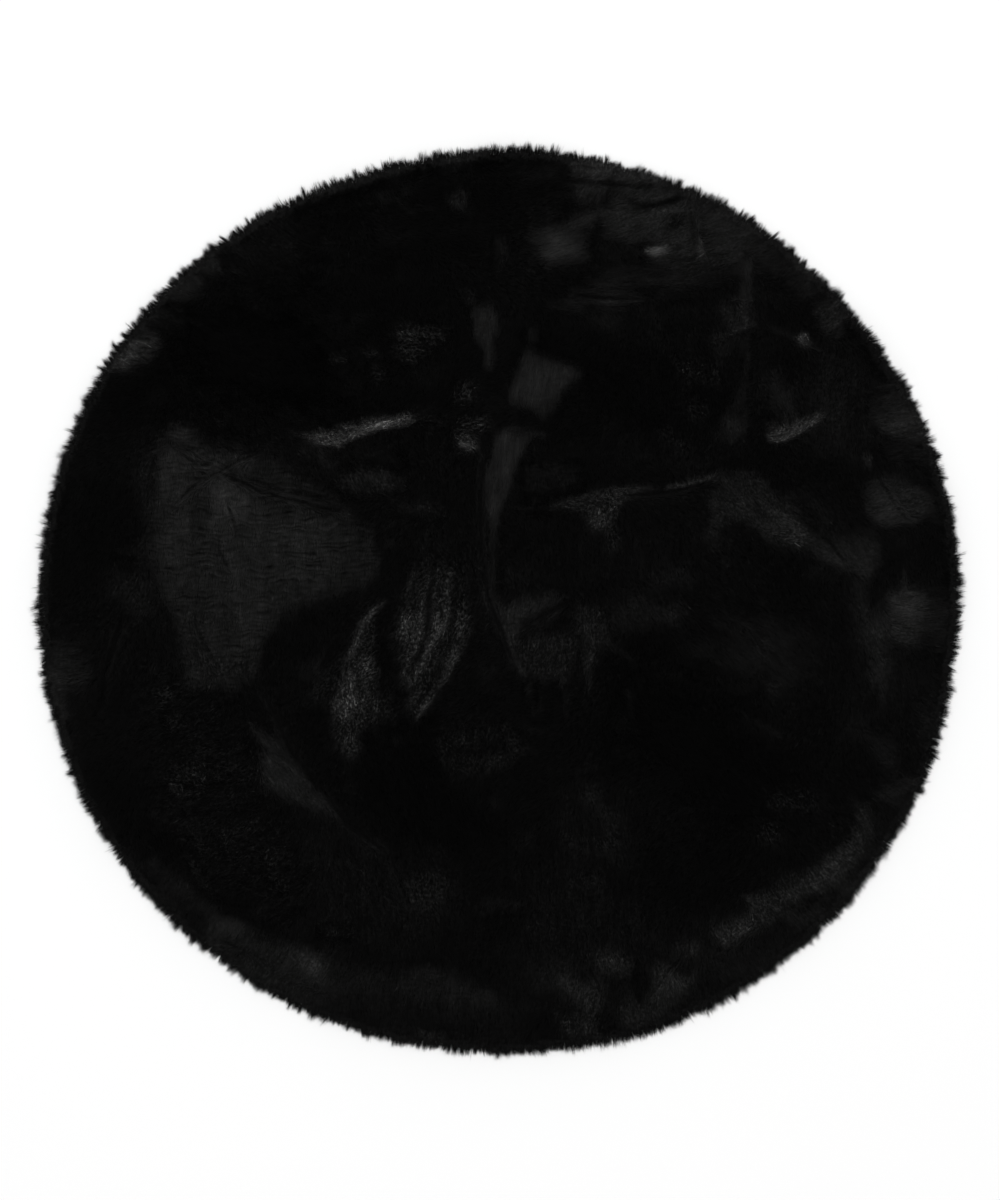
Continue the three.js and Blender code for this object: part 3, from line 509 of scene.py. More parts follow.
HAND_MARKS = [
    # thumb, drawn down at the left, its sheen painted
    patch(16.0, 6, [(-114, 0), (-130, -4), (-146, -16), (-157, -32), (-164, -54), (-168, -78), (-176, -100),
        (-182, -122), (-176, -148), (-164, -172), (-156, -172), (-150, -158), (-148, -136), (-132, -130),
        (-124, -112), (-130, -94), (-138, -88), (-126, -78), (-132, -62), (-136, -48), (-142, -32),
        (-130, -14)], heading=248, lean=0.9, rows=0, tousle=1.3),
    patch(37.0, 6, [(-170, -80), (-155, -82), (-153, -104), (-155, -126), (-164, -132), (-178, -126),
        (-180, -112), (-172, -98)], heading=252, lean=0.92, rows=0, tousle=1.4),
    patch(29.0, 7, [(-150, -60), (-130, -58), (-120, -74), (-130, -88), (-150, -86)], heading=250,
        lean=0.92, rows=0, tousle=1.4),
    patch(18.0, 7, [(-168, -134), (-154, -138), (-152, -160), (-160, -170), (-165, -158)], heading=255,
        lean=0.92, rows=0, tousle=1.3),
    stroke(31.0, 4, 2.6, [(-122, -2), (-138, -12), (-150, -28), (-157, -48), (-160, -66)], heading=240,
        lean=0.92, rows=0, tousle=0.9),
    patch(14.0, 6, [(-136, -20), (-128, -44), (-136, -60), (-146, -46)], heading=245, rows=0, tousle=1.2),
    patch(9.0, 8, [(-184, -66), (-172, -62), (-180, -100), (-200, -112), (-208, -100)], heading=240, rows=0,
        tousle=1.3),
    # fingers, their sheen painted
    patch(11.5, 8, [(-96, 30), (-80, 44), (-52, 46), (-36, 10), (-32, -26), (-42, -62), (-64, -96),
        (-88, -126), (-96, -112), (-92, -92), (-104, -80), (-106, -50), (-112, -30), (-104, 0)],
        heading=252, lean=0.9, rows=0, tousle=1.3),
    stroke(23.5, 4, 2.5, [(-94, 28), (-97, 10), (-100, -8)], heading=255, lean=0.92, rows=0, tousle=1.1),
    patch(38.0, 6, [(-108, -20), (-96, -14), (-80, -18), (-76, -36), (-88, -48), (-106, -38)], heading=250,
        lean=0.92, rows=0, tousle=1.3),
    stroke(24.5, 4, 2.5, [(-79, 42), (-78, 22), (-82, 0), (-86, -18)], heading=258, lean=0.92, rows=0,
        tousle=1.1),
    stroke(31.0, 4, 2.6, [(-54, 30), (-57, 4), (-61, -16)], heading=250, lean=0.92, rows=0, tousle=1.0),
    stroke(37.0, 4, 3.2, [(-64, -30), (-75, -50), (-86, -74), (-97, -90)], heading=248, lean=0.92, rows=0,
        tousle=1.0),
    stroke(28.0, 5, 4, [(-92, -46), (-95, -66), (-103, -82)], heading=252, lean=0.9, rows=0, tousle=1.3),
    stroke(24.5, 4, 2.5, [(-65, 40), (-67, 14), (-72, -14)], heading=256, lean=0.92, rows=0, tousle=1.2),
    patch(37.0, 5, [(-70, -16), (-56, -8), (-47, -24), (-55, -38), (-68, -34)], heading=250, lean=0.92,
        rows=0, tousle=1.2),
    patch(29.0, 7, [(-46, -12), (-34, -16), (-30, -34), (-44, -40)], heading=250, lean=0.92, rows=0,
        tousle=1.3),
    stroke(19.0, 4, 3.4, [(-36, -34), (-42, -50), (-50, -64)], heading=240, lean=0.92, rows=0, tousle=1.1),
    stroke(34.0, 4, 3.4, [(-48, -58), (-61, -86), (-75, -108), (-87, -125)], heading=240, lean=0.92, rows=0,
        tousle=1.0),
    stroke(24.0, 4, 2.5, [(-84, -96), (-94, -104), (-96, -112)], heading=250, rows=0, tousle=1.2),
    # painted shade between the fingers
    stroke(9.0, 3, 1.8, [(-90, 44), (-92, 16), (-94, -4)], heading=255, lean=0.6, rows=0),
    stroke(9.0, 3, 1.8, [(-71, 40), (-74, 10), (-80, -40), (-92, -66)], heading=255, lean=0.6, rows=0),
    stroke(10.0, 4, 3, [(-46, 30), (-46, 6), (-54, -34), (-66, -66), (-76, -88)], heading=250, lean=0.7,
        rows=0, tousle=0.8),
    patch(6.0, 6, [(-124, -6), (-118, 2), (-122, -34), (-114, -60), (-116, -100), (-124, -98), (-132, -64)],
        heading=255, lean=0.6, rows=0),
    patch(8.0, 6, [(-126, -96), (-112, -92), (-112, -128), (-130, -132)], heading=255, rows=0, tousle=1.2),
    # palm and fingertips, right of the middle, their sheen painted
    patch(10.5, 9, [(4, -8), (16, -20), (24, -40), (60, -34), (80, -24), (84, -60), (78, -80), (52, -86),
        (28, -84), (14, -52)], heading=262, lean=0.9, rows=0.4, tousle=0.8),
    patch(18.5, 5, [(2, -9), (14, -1), (36, 7), (56, 9), (72, 5), (66, -3), (46, -8), (34, -14), (22, -22),
        (24, -40), (14, -44), (4, -28)], heading=262, lean=0.9, rows=0.5, tousle=0.5),
    stroke(21.0, 3, 1.8, [(0, -8), (6, -34), (18, -60), (27, -82)], heading=280, lean=0.9, rows=0),
    # a line of painted shade along a parting
    patch(8.0, 5, [(24, -22), (40, -15), (56, -6), (73, 0), (74, -14), (56, -30), (36, -36), (26, -32)],
        heading=262, lean=0.6, rows=0),
    stroke(12.0, 2.5, 1.0, [(34, -30), (50, -24), (70, -8)], heading=220, rows=0),
    stroke(11.0, 2.5, 1.0, [(30, -26), (48, -16), (62, -8)], heading=220, rows=0),
    patch(14.0, 8, [(82, -4), (100, 3), (113, -8), (117, -30), (111, -52), (105, -72), (94, -76),
        (87, -40)], heading=266, lean=0.9, rows=0.3, tousle=0.9),
    patch(14.0, 10, [(30, -38), (62, -32), (68, -48), (40, -54)], heading=264, lean=0.9, rows=0.3,
        tousle=0.8),
    # painted glint
    patch(36.0, 2.5, [(95, -66), (99, -63), (102, -68), (97, -71)], heading=266, rows=0),
    stroke(19.0, 3, 1.5, [(34, -84), (32, -104), (36, -118), (44, -118), (48, -102), (46, -86)],
        heading=268, lean=0.88, rows=0, tousle=0.4),
    stroke(21.0, 3, 2.0, [(69, -80), (73, -98), (73, -116)], heading=268, lean=0.88, rows=0, tousle=0.4),
    stroke(21.0, 3, 1.8, [(95, -64), (97, -82), (98, -98)], heading=268, lean=0.88, rows=0, tousle=0.8),
    patch(10.0, 14, [(116, 2), (160, 10), (200, 4), (194, -20), (150, -24), (118, -34)], heading=300,
        rows=0.5, tousle=0.6),
    patch(14.0, 6, [(178, -10), (186, -8), (192, -22), (184, -26)], heading=300, tousle=1.0),
    stroke(13.5, 5, 3, [(112, -44), (128, -52), (144, -66)], heading=310),
    patch(11.5, 12, [(150, 34), (196, 40), (206, 26), (160, 14)], heading=290, rows=0.5, tousle=0.8),
    # painted glint
    patch(24.0, 3, [(136, -98), (142, -97), (145, -102), (139, -105)], rows=0),
    stroke(15.0, 4, 2, [(141, -104), (142, -118)], rows=0),
    patch(16.0, 4, [(290, -88), (298, -88), (301, -98), (292, -100)], heading=300, rows=0, tousle=1.0),
    patch(13.0, 8, [(270, -40), (292, -42), (296, -58), (276, -56)], heading=310, rows=0.3, tousle=0.8),
    stroke(11.5, 6, 3, [(262, -122), (282, -134), (302, -148)], heading=320),
    # a line of painted shade
    stroke(4.5, 4, 2, [(118, -70), (120, -120), (116, -170)], lean=0.6, rows=0),
    # painted sheen under the hand
    stroke(10.5, 12, 8, [(-62, -154), (-48, -178), (-24, -176), (0, -170), (18, -164), (22, -150),
        (4, -142), (-20, -146), (-44, -144)], heading=300, lean=0.8, rows=0.2, tousle=1.2),
    stroke(14.0, 8, 4, [(-36, -170), (-14, -174), (6, -170), (18, -158)], heading=300, tousle=1.3),
    stroke(12.5, 10, 6, [(96, -204), (110, -220), (126, -240), (122, -256)], heading=290, rows=0.5,
        tousle=0.9),
    stroke(12.5, 8, 5, [(72, -256), (96, -261), (122, -260)], heading=280, rows=0.8, tousle=1.3),
    patch(12.5, 8, [(-102, -300), (-80, -294), (-52, -304), (-58, -316), (-78, -332), (-96, -326)],
        heading=280, rows=0.3, tousle=1.0),
    patch(10.5, 7, [(70, -292), (112, -294), (108, -308), (80, -308)], heading=280, rows=0.8, tousle=1.3),
    patch(10.5, 8, [(286, -205), (345, -204), (340, -230), (292, -226)], heading=300, lean=0.7, tousle=1.5),
    patch(10.5, 8, [(275, -238), (300, -236), (305, -266), (280, -262)], heading=300, lean=0.7, tousle=1.5),
]

RIGHT_MARKS = [
    # ridge with a thin crest of painted highlight
    patch(25.0, 5, [(86, 108), (110, 118), (146, 121), (142, 111), (131, 104), (126, 92), (116, 80),
        (104, 78), (96, 90), (88, 98)], heading=255, lean=0.88, rows=0.3, tousle=1.3),
    patch(28.0, 3, [(104, 92), (112, 94), (116, 84), (108, 80)], heading=255, lean=0.9, rows=0, tousle=1.3),
    patch(12.5, 6, [(116, 80), (128, 84), (134, 64), (124, 54), (118, 62)], heading=260, tousle=1.3),
    stroke(28.0, 5, 4.5, [(64, 100), (84, 104), (100, 107), (118, 112), (132, 116), (144, 121)], heading=12,
        lean=0.88, rows=0.2, tousle=1.2),
    stroke(32.0, 3, 2.2, [(54, 101), (74, 107), (94, 112), (112, 115)], heading=12, lean=0.88, rows=0,
        tousle=0.9),
    stroke(13.0, 3, 1.2, [(18, 98), (36, 99), (54, 101)], heading=10, rows=0, tousle=0.6),
    stroke(31.0, 2.5, 1.5, [(138, 117), (150, 119), (162, 121)], heading=10, lean=0.9, rows=0, tousle=0.6),
    stroke(42.0, 3, 2.3, [(184, 121), (198, 125), (214, 128), (234, 131)], heading=14, lean=0.9, rows=0,
        tousle=0.6),
    stroke(13.0, 2.5, 1.2, [(142, 110), (166, 113), (190, 114)], heading=8, rows=0),
    # lines of painted shade
    stroke(4.0, 2.5, 1.4, [(140, 114), (170, 116), (200, 122), (232, 130)], heading=10, lean=0.55, rows=0),
    stroke(4.5, 2.5, 1.3, [(30, 93), (60, 96), (86, 100)], heading=10, lean=0.55, rows=0),
    # arch of painted sheen
    patch(14.0, 7, [(222, 70), (229, 94), (226, 106), (232, 124), (245, 135), (262, 138), (282, 133),
        (300, 120), (314, 108), (324, 97), (334, 84), (344, 70), (344, 56), (302, 60), (285, 66), (277, 79),
        (262, 84), (250, 89), (239, 76), (229, 67)], heading=300, lean=0.88, rows=0.3, tousle=0.65),
    stroke(19.0, 6, 4, [(238, 130), (256, 134), (276, 132), (290, 124)], heading=300, tousle=0.65),
    patch(18.0, 8, [(252, 100), (274, 106), (276, 92), (258, 90)], heading=300, tousle=0.65),
    patch(21.0, 9, [(288, 100), (310, 100), (328, 86), (318, 78), (290, 84)], heading=310, lean=0.88,
        tousle=0.65),
    patch(24.0, 6, [(280, 85), (304, 84), (330, 80), (342, 68), (335, 60), (310, 66), (288, 72)],
        heading=350, lean=0.9, rows=0.2, tousle=0.8),
    patch(18.0, 9, [(332, 68), (372, 70), (408, 74), (412, 50), (404, 34), (394, 18), (376, 34), (356, 38),
        (342, 46)], heading=330, lean=0.88, rows=0.4, tousle=0.4),
    patch(19.0, 7, [(372, 62), (404, 66), (406, 46), (392, 40), (376, 46)], heading=300, lean=0.9),
    # a line of painted shade
    stroke(9.0, 3, 1.5, [(352, 68), (366, 56), (372, 42)], heading=300, lean=0.7, rows=0),
    stroke(10.0, 6, 4, [(312, 122), (334, 112), (352, 92)], heading=300),
    patch(12.0, 10, [(378, 30), (396, 18), (398, -6), (380, -4)], heading=290),
]

# Creases from its packing show as faint lines of painted light and shade in the standing pile
FOLD_MARKS = [
    stroke(5.0, 4, 1.5, [(-5, 470), (-9, 400), (-6, 330)], heading=0, lean=0.6, rows=0),
    stroke(10.5, 3, 1.2, [(66, 165), (140, 166), (230, 152)], rows=0),
    stroke(10.0, 4, 1.4, [(275, 290), (274, 230), (268, 170)], heading=180, rows=0),
    stroke(10.0, 3, 1.2, [(25, 128), (60, 132), (92, 118)], rows=0),
    stroke(10.5, 4, 1.5, [(-412, 51), (-396, 48), (-384, 40)], heading=90, rows=0),
]

MARKS = (BROAD_MARKS + RIM_MARKS + FAR_MARKS + FOLD_MARKS + MIDDLE_MARKS + LEFT_MARKS + RIGHT_MARKS
         + HAND_MARKS)

# Thin partings where the pile splits: the dark of their depth is painted shade
PARTINGS = [
    [(-350, 105), (-334, 119), (-322, 129), (-300, 140), (-284, 150), (-258, 161)],
    [(-296, 135), (-274, 127), (-258, 118), (-240, 112), (-215, 106), (-172, 98)],
    [(-276, 134), (-254, 126), (-226, 119), (-186, 112)],
    [(-380, 162), (-356, 170), (-336, 168), (-318, 156)],
    [(-344, 160), (-328, 147), (-308, 146)],
    [(-296, 104), (-291, 93), (-287, 83)],
    [(-303, 66), (-301, 46), (-294, 34)],
    [(-330, -16), (-322, -44), (-304, -74)],
    [(-258, -94), (-248, -118), (-236, -144), (-212, -184), (-188, -212), (-162, -244), (-128, -268)],
    [(-18, 182), (-20, 110), (-18, 44), (-12, 2), (2, -34), (14, -64)],
    [(28, -26), (44, -18), (60, -8), (72, 0)],
    [(410, 128), (424, 113), (432, 99), (442, 88)],
    [(142, 114), (170, 116), (200, 122), (234, 129)],
    [(206, 430), (208, 408), (210, 390)],
    [(74, 452), (124, 450), (166, 445)],
    [(84, 331), (112, 327), (152, 326)],
    [(352, 69), (366, 57), (372, 42)],
    [(196, -388), (182, -402), (168, -424)],
    [(236, -380), (256, -372), (284, -352)],
    [(98, -398), (108, -420), (100, -446)],
    [(-230, -404), (-206, -412), (-184, -424)],
    [(-302, -368), (-276, -376), (-250, -392)],
]


# Smooth random fields and shapes on the floor plan


def smooth_step(low, high, value):
    """From 0 at low to 1 at high."""
    share = np.clip((value - low) / (high - low), 0, 1)
    return share * share * (3 - 2 * share)


def blended(lattice, corner, share):
    """Values between the four lattice points round each place."""
    x, y = corner[:, 0], corner[:, 1]
    low = lattice[x, y] * (1 - share[:, 0]) + lattice[x + 1, y] * share[:, 0]
    high = lattice[x, y + 1] * (1 - share[:, 0]) + lattice[x + 1, y + 1] * share[:, 0]
    return low * (1 - share[:, 1]) + high * share[:, 1]


def drift(points, size, seed):
    """Smooth random numbers from -1 to 1 that change over about size, which may differ on X and Y."""
    reach = FIELD_REACH
    size = np.broadcast_to(size, 2)
    cells = (2 * reach / size).astype(int) + 3
    lattice = np.random.default_rng(seed).uniform(-1, 1, cells)
    place = (np.clip(points, -reach, reach) + reach) / size
    corner = place.astype(int)
    share = place - corner
    return blended(lattice, corner, share * share * (3 - 2 * share))


def degrees_round(points):
    """Where each point lies round the rug, from +X toward +Y."""
    return np.degrees(np.arctan2(points[:, 1], points[:, 0]))


def ways(angles):
    """Unit directions on the plan."""
    return np.stack([np.cos(angles), np.sin(angles)], 1)


def turned(way, angle):
    """Directions on the plan, each turned by its own angle."""
    x, y = way.T
    return np.stack([x * np.cos(angle) - y * np.sin(angle), x * np.sin(angle) + y * np.cos(angle)], 1)


def close_to(points, corners, reach):
    """Numbers of the points that lie in the box round the corners, or within reach of it."""
    corners = np.array(corners)
    return np.all((points > corners.min(0) - reach) & (points < corners.max(0) + reach), 1).nonzero()[0]


def nearest_on_path(points, path):
    """Distance from each point to a path, and the way the path runs there."""
    nearest = np.full(len(points), np.inf)
    runs = np.zeros(points.shape)
    for start, end in zip(path, path[1:]):
        step = np.subtract(end, start).astype(float)
        along = np.clip((points - start) @ step / (step @ step), 0, 1)
        off = points - start - along[:, None] * step
        distance = np.hypot(off[:, 0], off[:, 1])
        closer = distance < nearest
        nearest[closer] = distance[closer]
        runs[closer] = step / np.hypot(*step)
    return nearest, runs


def inside_patch(points, corners):
    """Whether each point lies inside a closed patch."""
    inside = np.zeros(len(points), bool)
    x, y = points.T
    for (x0, y0), (x1, y1) in zip(corners, corners[1:] + corners[:1]):
        crosses = (y0 > y) != (y1 > y)
        if y0 != y1:
            inside ^= crosses & (x < x0 + (y - y0) * (x1 - x0) / (y1 - y0))
    return inside


def cover(mark, points, seed):
    """How far a mark covers each point, from 0 to 1, and the painted light and dark streaks in its sheen."""
    turn = math.radians(mark.heading)
    along = points @ (math.cos(turn), math.sin(turn))
    across = points @ (-math.sin(turn), math.cos(turn))
    streaks = drift(np.stack([along, across], 1), STREAK_SIZE, seed)
    locks = drift(np.stack([along + LOCK_WAVE * streaks, across], 1), LOCK_SIZE, seed + 1000)
    if mark.wide:
        off = nearest_on_path(points, mark.points)[0] - mark.wide
    else:
        off = nearest_on_path(points, mark.points + mark.points[:1])[0]
        off = np.where(inside_patch(points, mark.points), -off, off)
    ragged = drift(points, ROW_SIZE, seed + 500)
    off += (0.3 * streaks + 0.3 * locks + 0.4 * ragged) * mark.soft
    core = smooth_step(mark.soft / 2, -mark.soft / 2, off)
    fringe = smooth_step(HALO * mark.soft / 2, -HALO * mark.soft / 2, off)
    uneven = STREAK_LIGHT * streaks + LOCK_LIGHT * max(1 - mark.rows, 0.2) * locks
    return (1 - HALO_SHARE) * core + HALO_SHARE * fringe, uneven


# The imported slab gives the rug's outline and the height of its pile


class Slab:
    """The solid slab, measured from above."""

    def __init__(self, node):
        mesh = node.data
        corners = [vertex.co.copy() for vertex in mesh.vertices]
        self.tree = BVHTree.FromPolygons(corners, [tuple(face.vertices) for face in mesh.polygons])
        self.rims = self.measure_rim()
        self.spacing = 8.0  # of the measured heights
        self.reach = 560.0
        self.heights = self.measure_heights()

    def measure_rim(self):
        """Distance of the outline from the middle in every direction, its locks smoothed out."""
        count = 1440
        window = 13
        outside = 0.6
        level = Vector((0, 0, 0.0002))
        found = []
        for i in range(count):
            angle = i * FULL_TURN / count
            way = Vector((math.cos(angle), math.sin(angle), 0))
            hit = self.tree.ray_cast(way * outside + level, -way)[0]
            found.append(math.hypot(hit.x, hit.y) / MM)
        wrapped = np.concatenate([found[-window:], found, found[:window]])
        smooth = np.convolve(wrapped, np.ones(window) / window, "same")
        return smooth[window:-window]

    def measure_heights(self):
        """Height of the top on a square lattice, 0 beside the slab."""
        steps = int(2 * self.reach / self.spacing) + 2
        above = 0.2
        down = Vector((0, 0, -1))
        heights = np.zeros((steps, steps))
        for i in range(steps):
            for j in range(steps):
                x = (-self.reach + i * self.spacing) * MM
                y = (-self.reach + j * self.spacing) * MM
                hit = self.tree.ray_cast(Vector((x, y, above)), down)[0]
                heights[i, j] = hit.z / MM if hit else 0.0
        return heights

    def rim(self, points):
        """Distance of the outline from the middle, in the direction of each point."""
        turn = degrees_round(points) % 360
        count = len(self.rims)
        return np.interp(turn * count / 360, np.arange(count + 1), np.append(self.rims, self.rims[0]))

    def inside(self, points):
        """Distance inside the outline, in millimetres."""
        return self.rim(points) - np.hypot(points[:, 0], points[:, 1])

    def height(self, points):
        """Height of the slab's top at each point of the plan, in millimetres."""
        place = (np.clip(points, -self.reach, self.reach) + self.reach) / self.spacing
        corner = place.astype(int)
        return blended(self.heights, corner, place - corner)

    def bed_height(self, points):
        """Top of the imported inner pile, which rounds down to the floor inside the rim."""
        share = np.clip((self.inside(points) - BED_IN) / BED_ROUNDING, 0, 1)
        return self.height(points) * BED_SHARE * np.sqrt(1 - (1 - share) ** 2)


# The lie of the pile


Lie = namedtuple("Lie", "tone nap rows tousle")


def light_of(level):
    """Share of light that shows as a grey level, by the curve of a screen."""
    offset = 0.055
    return (np.maximum(level, 0) / 255 + offset) ** 2.4 / (1 + offset) ** 2.4


def brush(points, slab):
    """The pile's tone, with its painted sheen and shade, and its nap, rows and ruffle at each point of the
    plan.
    """
    # The marks' edges waver a little
    wobble = np.stack([drift(points, 24, 11), drift(points, 24, 12)], 1) * 1.6
    wobble += np.stack([drift(points, 8, 13), drift(points, 8, 14)], 1) * 1.3
    held = points * SEEN_LARGER + wobble

    # Standing pile: slow changes, and faint wisps in places
    level = STANDING + 1.0 * drift(points, 80, 21) + 0.8 * drift(points, 30, 22)
    wisps = drift(points + 11 * wobble, (44, 11), 25) * drift(points, 36, 26)
    level += 0.5 * drift(points, 9, 23) + WISPS * np.maximum(wisps - 0.08, 0)
    heading = np.radians(270 + 70 * drift(points, 170, 31) + 40 * drift(points, 60, 32))
    lean = 0.62 + 0.1 * drift(points, 70, 33)
    rows = 0.3 + 0.3 * drift(points, 50, 35)
    tousle = 0.4 + 0.35 * drift(points, 60, 34)
    nap = ways(heading) * lean[:, None]
    clouds = drift(points, 13, 24)

    # Brushed marks, each over the ones before it: they turn the nap and paint their sheen or shade into the
    # level
    for number, mark in enumerate(MARKS):
        near = close_to(held, mark.points, mark.wide + HALO * mark.soft)
        if not len(near):
            continue
        mask, streaks = cover(mark, held[near], number)
        turn = math.radians(mark.heading)
        way = np.array([math.cos(turn), math.sin(turn)]) * mark.lean
        own = mark.level * (1 + streaks + CLOUD_LIGHT * clouds[near])
        level[near] += (own - level[near]) * mask
        nap[near] += (way - nap[near]) * mask[:, None]
        rows[near] += (mark.rows - rows[near]) * mask
        tousle[near] += (mark.tousle - tousle[near]) * mask

    # Partings: the pile lies along them. Their dark depth is painted shade, with painted highlight beside
    # them
    for path in PARTINGS:
        near = close_to(held, path, PARTING_COMBED)
        off, runs = nearest_on_path(held[near], path)
        runs *= np.where((runs * nap[near]).sum(1) < 0, -1, 1)[:, None] * PARTING_LEAN
        combed = smooth_step(PARTING_COMBED, PARTING_COMBED / 2, off)
        nap[near] += (runs - nap[near]) * combed[:, None]
        level[near] *= 1 + PARTING_LIT * combed
        level[near] *= 1 - PARTING_SHADE * smooth_step(PARTING_WIDTH, PARTING_WIDTH / 4, off)

    # Toward the rim the pile turns down and outward, and painted shade darkens it. Ruffled pile lies
    # unevenly, and painted flecks of light and shade show it
    inside = slab.inside(points)
    level *= 1 - RIM_SHADE * smooth_step(18, 2, inside)
    ruffle = drift(points, 4.5, 51) * drift(points, 14, 52)
    level *= np.maximum(1 + RUFFLE_LIGHT * tousle * ruffle, 0.3)
    nap = turned(nap, RUFFLE_TURN * tousle * drift(points, 12, 54))

    outward = points / np.maximum(np.hypot(points[:, 0], points[:, 1]), 1)[:, None]
    outward = turned(outward, 0.4 * drift(points, 14, 61) + 0.25 * drift(points, 5, 62)) * RIM_LEAN
    nap += (outward - nap) * smooth_step(RIM_TURN, 6, inside)[:, None]
    return Lie(light_of(level), nap, rows, tousle)


# Nodes


def add(tree, kind, inputs=None, **settings):
    """Adds a node. inputs names its sockets, each with a value or with the output that feeds it."""
    node = tree.nodes.new(kind)
    for name, value in settings.items():
        setattr(node, name, value)
    for key, value in (inputs or {}).items():
        socket = node.inputs[key]
        if isinstance(value, bpy.types.NodeSocket):
            tree.links.new(value, socket)
        else:
            socket.default_value = value
    return node


def calc(tree, operation, first, second=0.0, third=0.0):
    """One step of arithmetic on numbers."""
    given = {0: first, 1: second, 2: third}
    return add(tree, "ShaderNodeMath", given, operation=operation).outputs[0]


def vector_calc(tree, operation, first, second=(0, 0, 0)):
    """One step of arithmetic on vectors."""
    if operation == "SCALE":
        node = add(tree, "ShaderNodeVectorMath", {0: first, "Scale": second}, operation=operation)
    else:
        node = add(tree, "ShaderNodeVectorMath", {0: first, 1: second}, operation=operation)
    return node.outputs["Value" if operation in ("LENGTH", "DOT_PRODUCT") else 0]


def kept(tree, name, data_type="FLOAT"):
    """Reads a named attribute."""
    node = add(tree, "GeometryNodeInputNamedAttribute", {"Name": name}, data_type=data_type)
    return node.outputs["Attribute"]


def store(tree, geometry, name, value):
    """Keeps a number for each point under a name."""
    given = {"Geometry": geometry, "Name": name, "Value": value}
    settings = {"data_type": "FLOAT", "domain": "POINT"}
    return add(tree, "GeometryNodeStoreNamedAttribute", given, **settings).outputs["Geometry"]


def chance(tree, low, high, seed, step=0):
    """A random number for each element. step sets its draw apart from the others."""
    if step:
        seed = calc(tree, "ADD", seed, step)
    given = {"Min": low, "Max": high, "Seed": seed}
    return add(tree, "FunctionNodeRandomValue", given, data_type="FLOAT").outputs[1]


def joined(tree, x=0.0, y=0.0, z=0.0):
    return add(tree, "ShaderNodeCombineXYZ", {"X": x, "Y": y, "Z": z}).outputs[0]


def split(tree, vector):
    return add(tree, "ShaderNodeSeparateXYZ", {0: vector}).outputs


def noise(tree, place, scale, detail=1.0):
    given = {"Vector": place, "Scale": scale, "Detail": detail}
    return add(tree, "ShaderNodeTexNoise", given).outputs["Fac"]


def between(tree, value, from_low, from_high, to_low, to_high):
    """Carries a value from one range to another."""
    given = {0: value, 1: from_low, 2: from_high, 3: to_low, 4: to_high}
    return add(tree, "ShaderNodeMapRange", given).outputs[0]


def attribute(tree, name):
    return add(tree, "ShaderNodeAttribute", attribute_name=name).outputs["Fac"]


def product(tree, *values):
    total = values[0]
    for value in values[1:]:
        total = calc(tree, "MULTIPLY", total, value)
    return total


def start_group(name, kind, inputs, outputs):
    """A new node group with its sockets. Returns it and the outputs that feed its nodes."""
    tree = bpy.data.node_groups.new(name, kind)
    for way, sockets in (("INPUT", inputs), ("OUTPUT", outputs)):
        for label, socket in sockets.items():
            tree.interface.new_socket(label, in_out=way, socket_type="NodeSocket" + socket)
    return tree, tree.nodes.new("NodeGroupInput").outputs


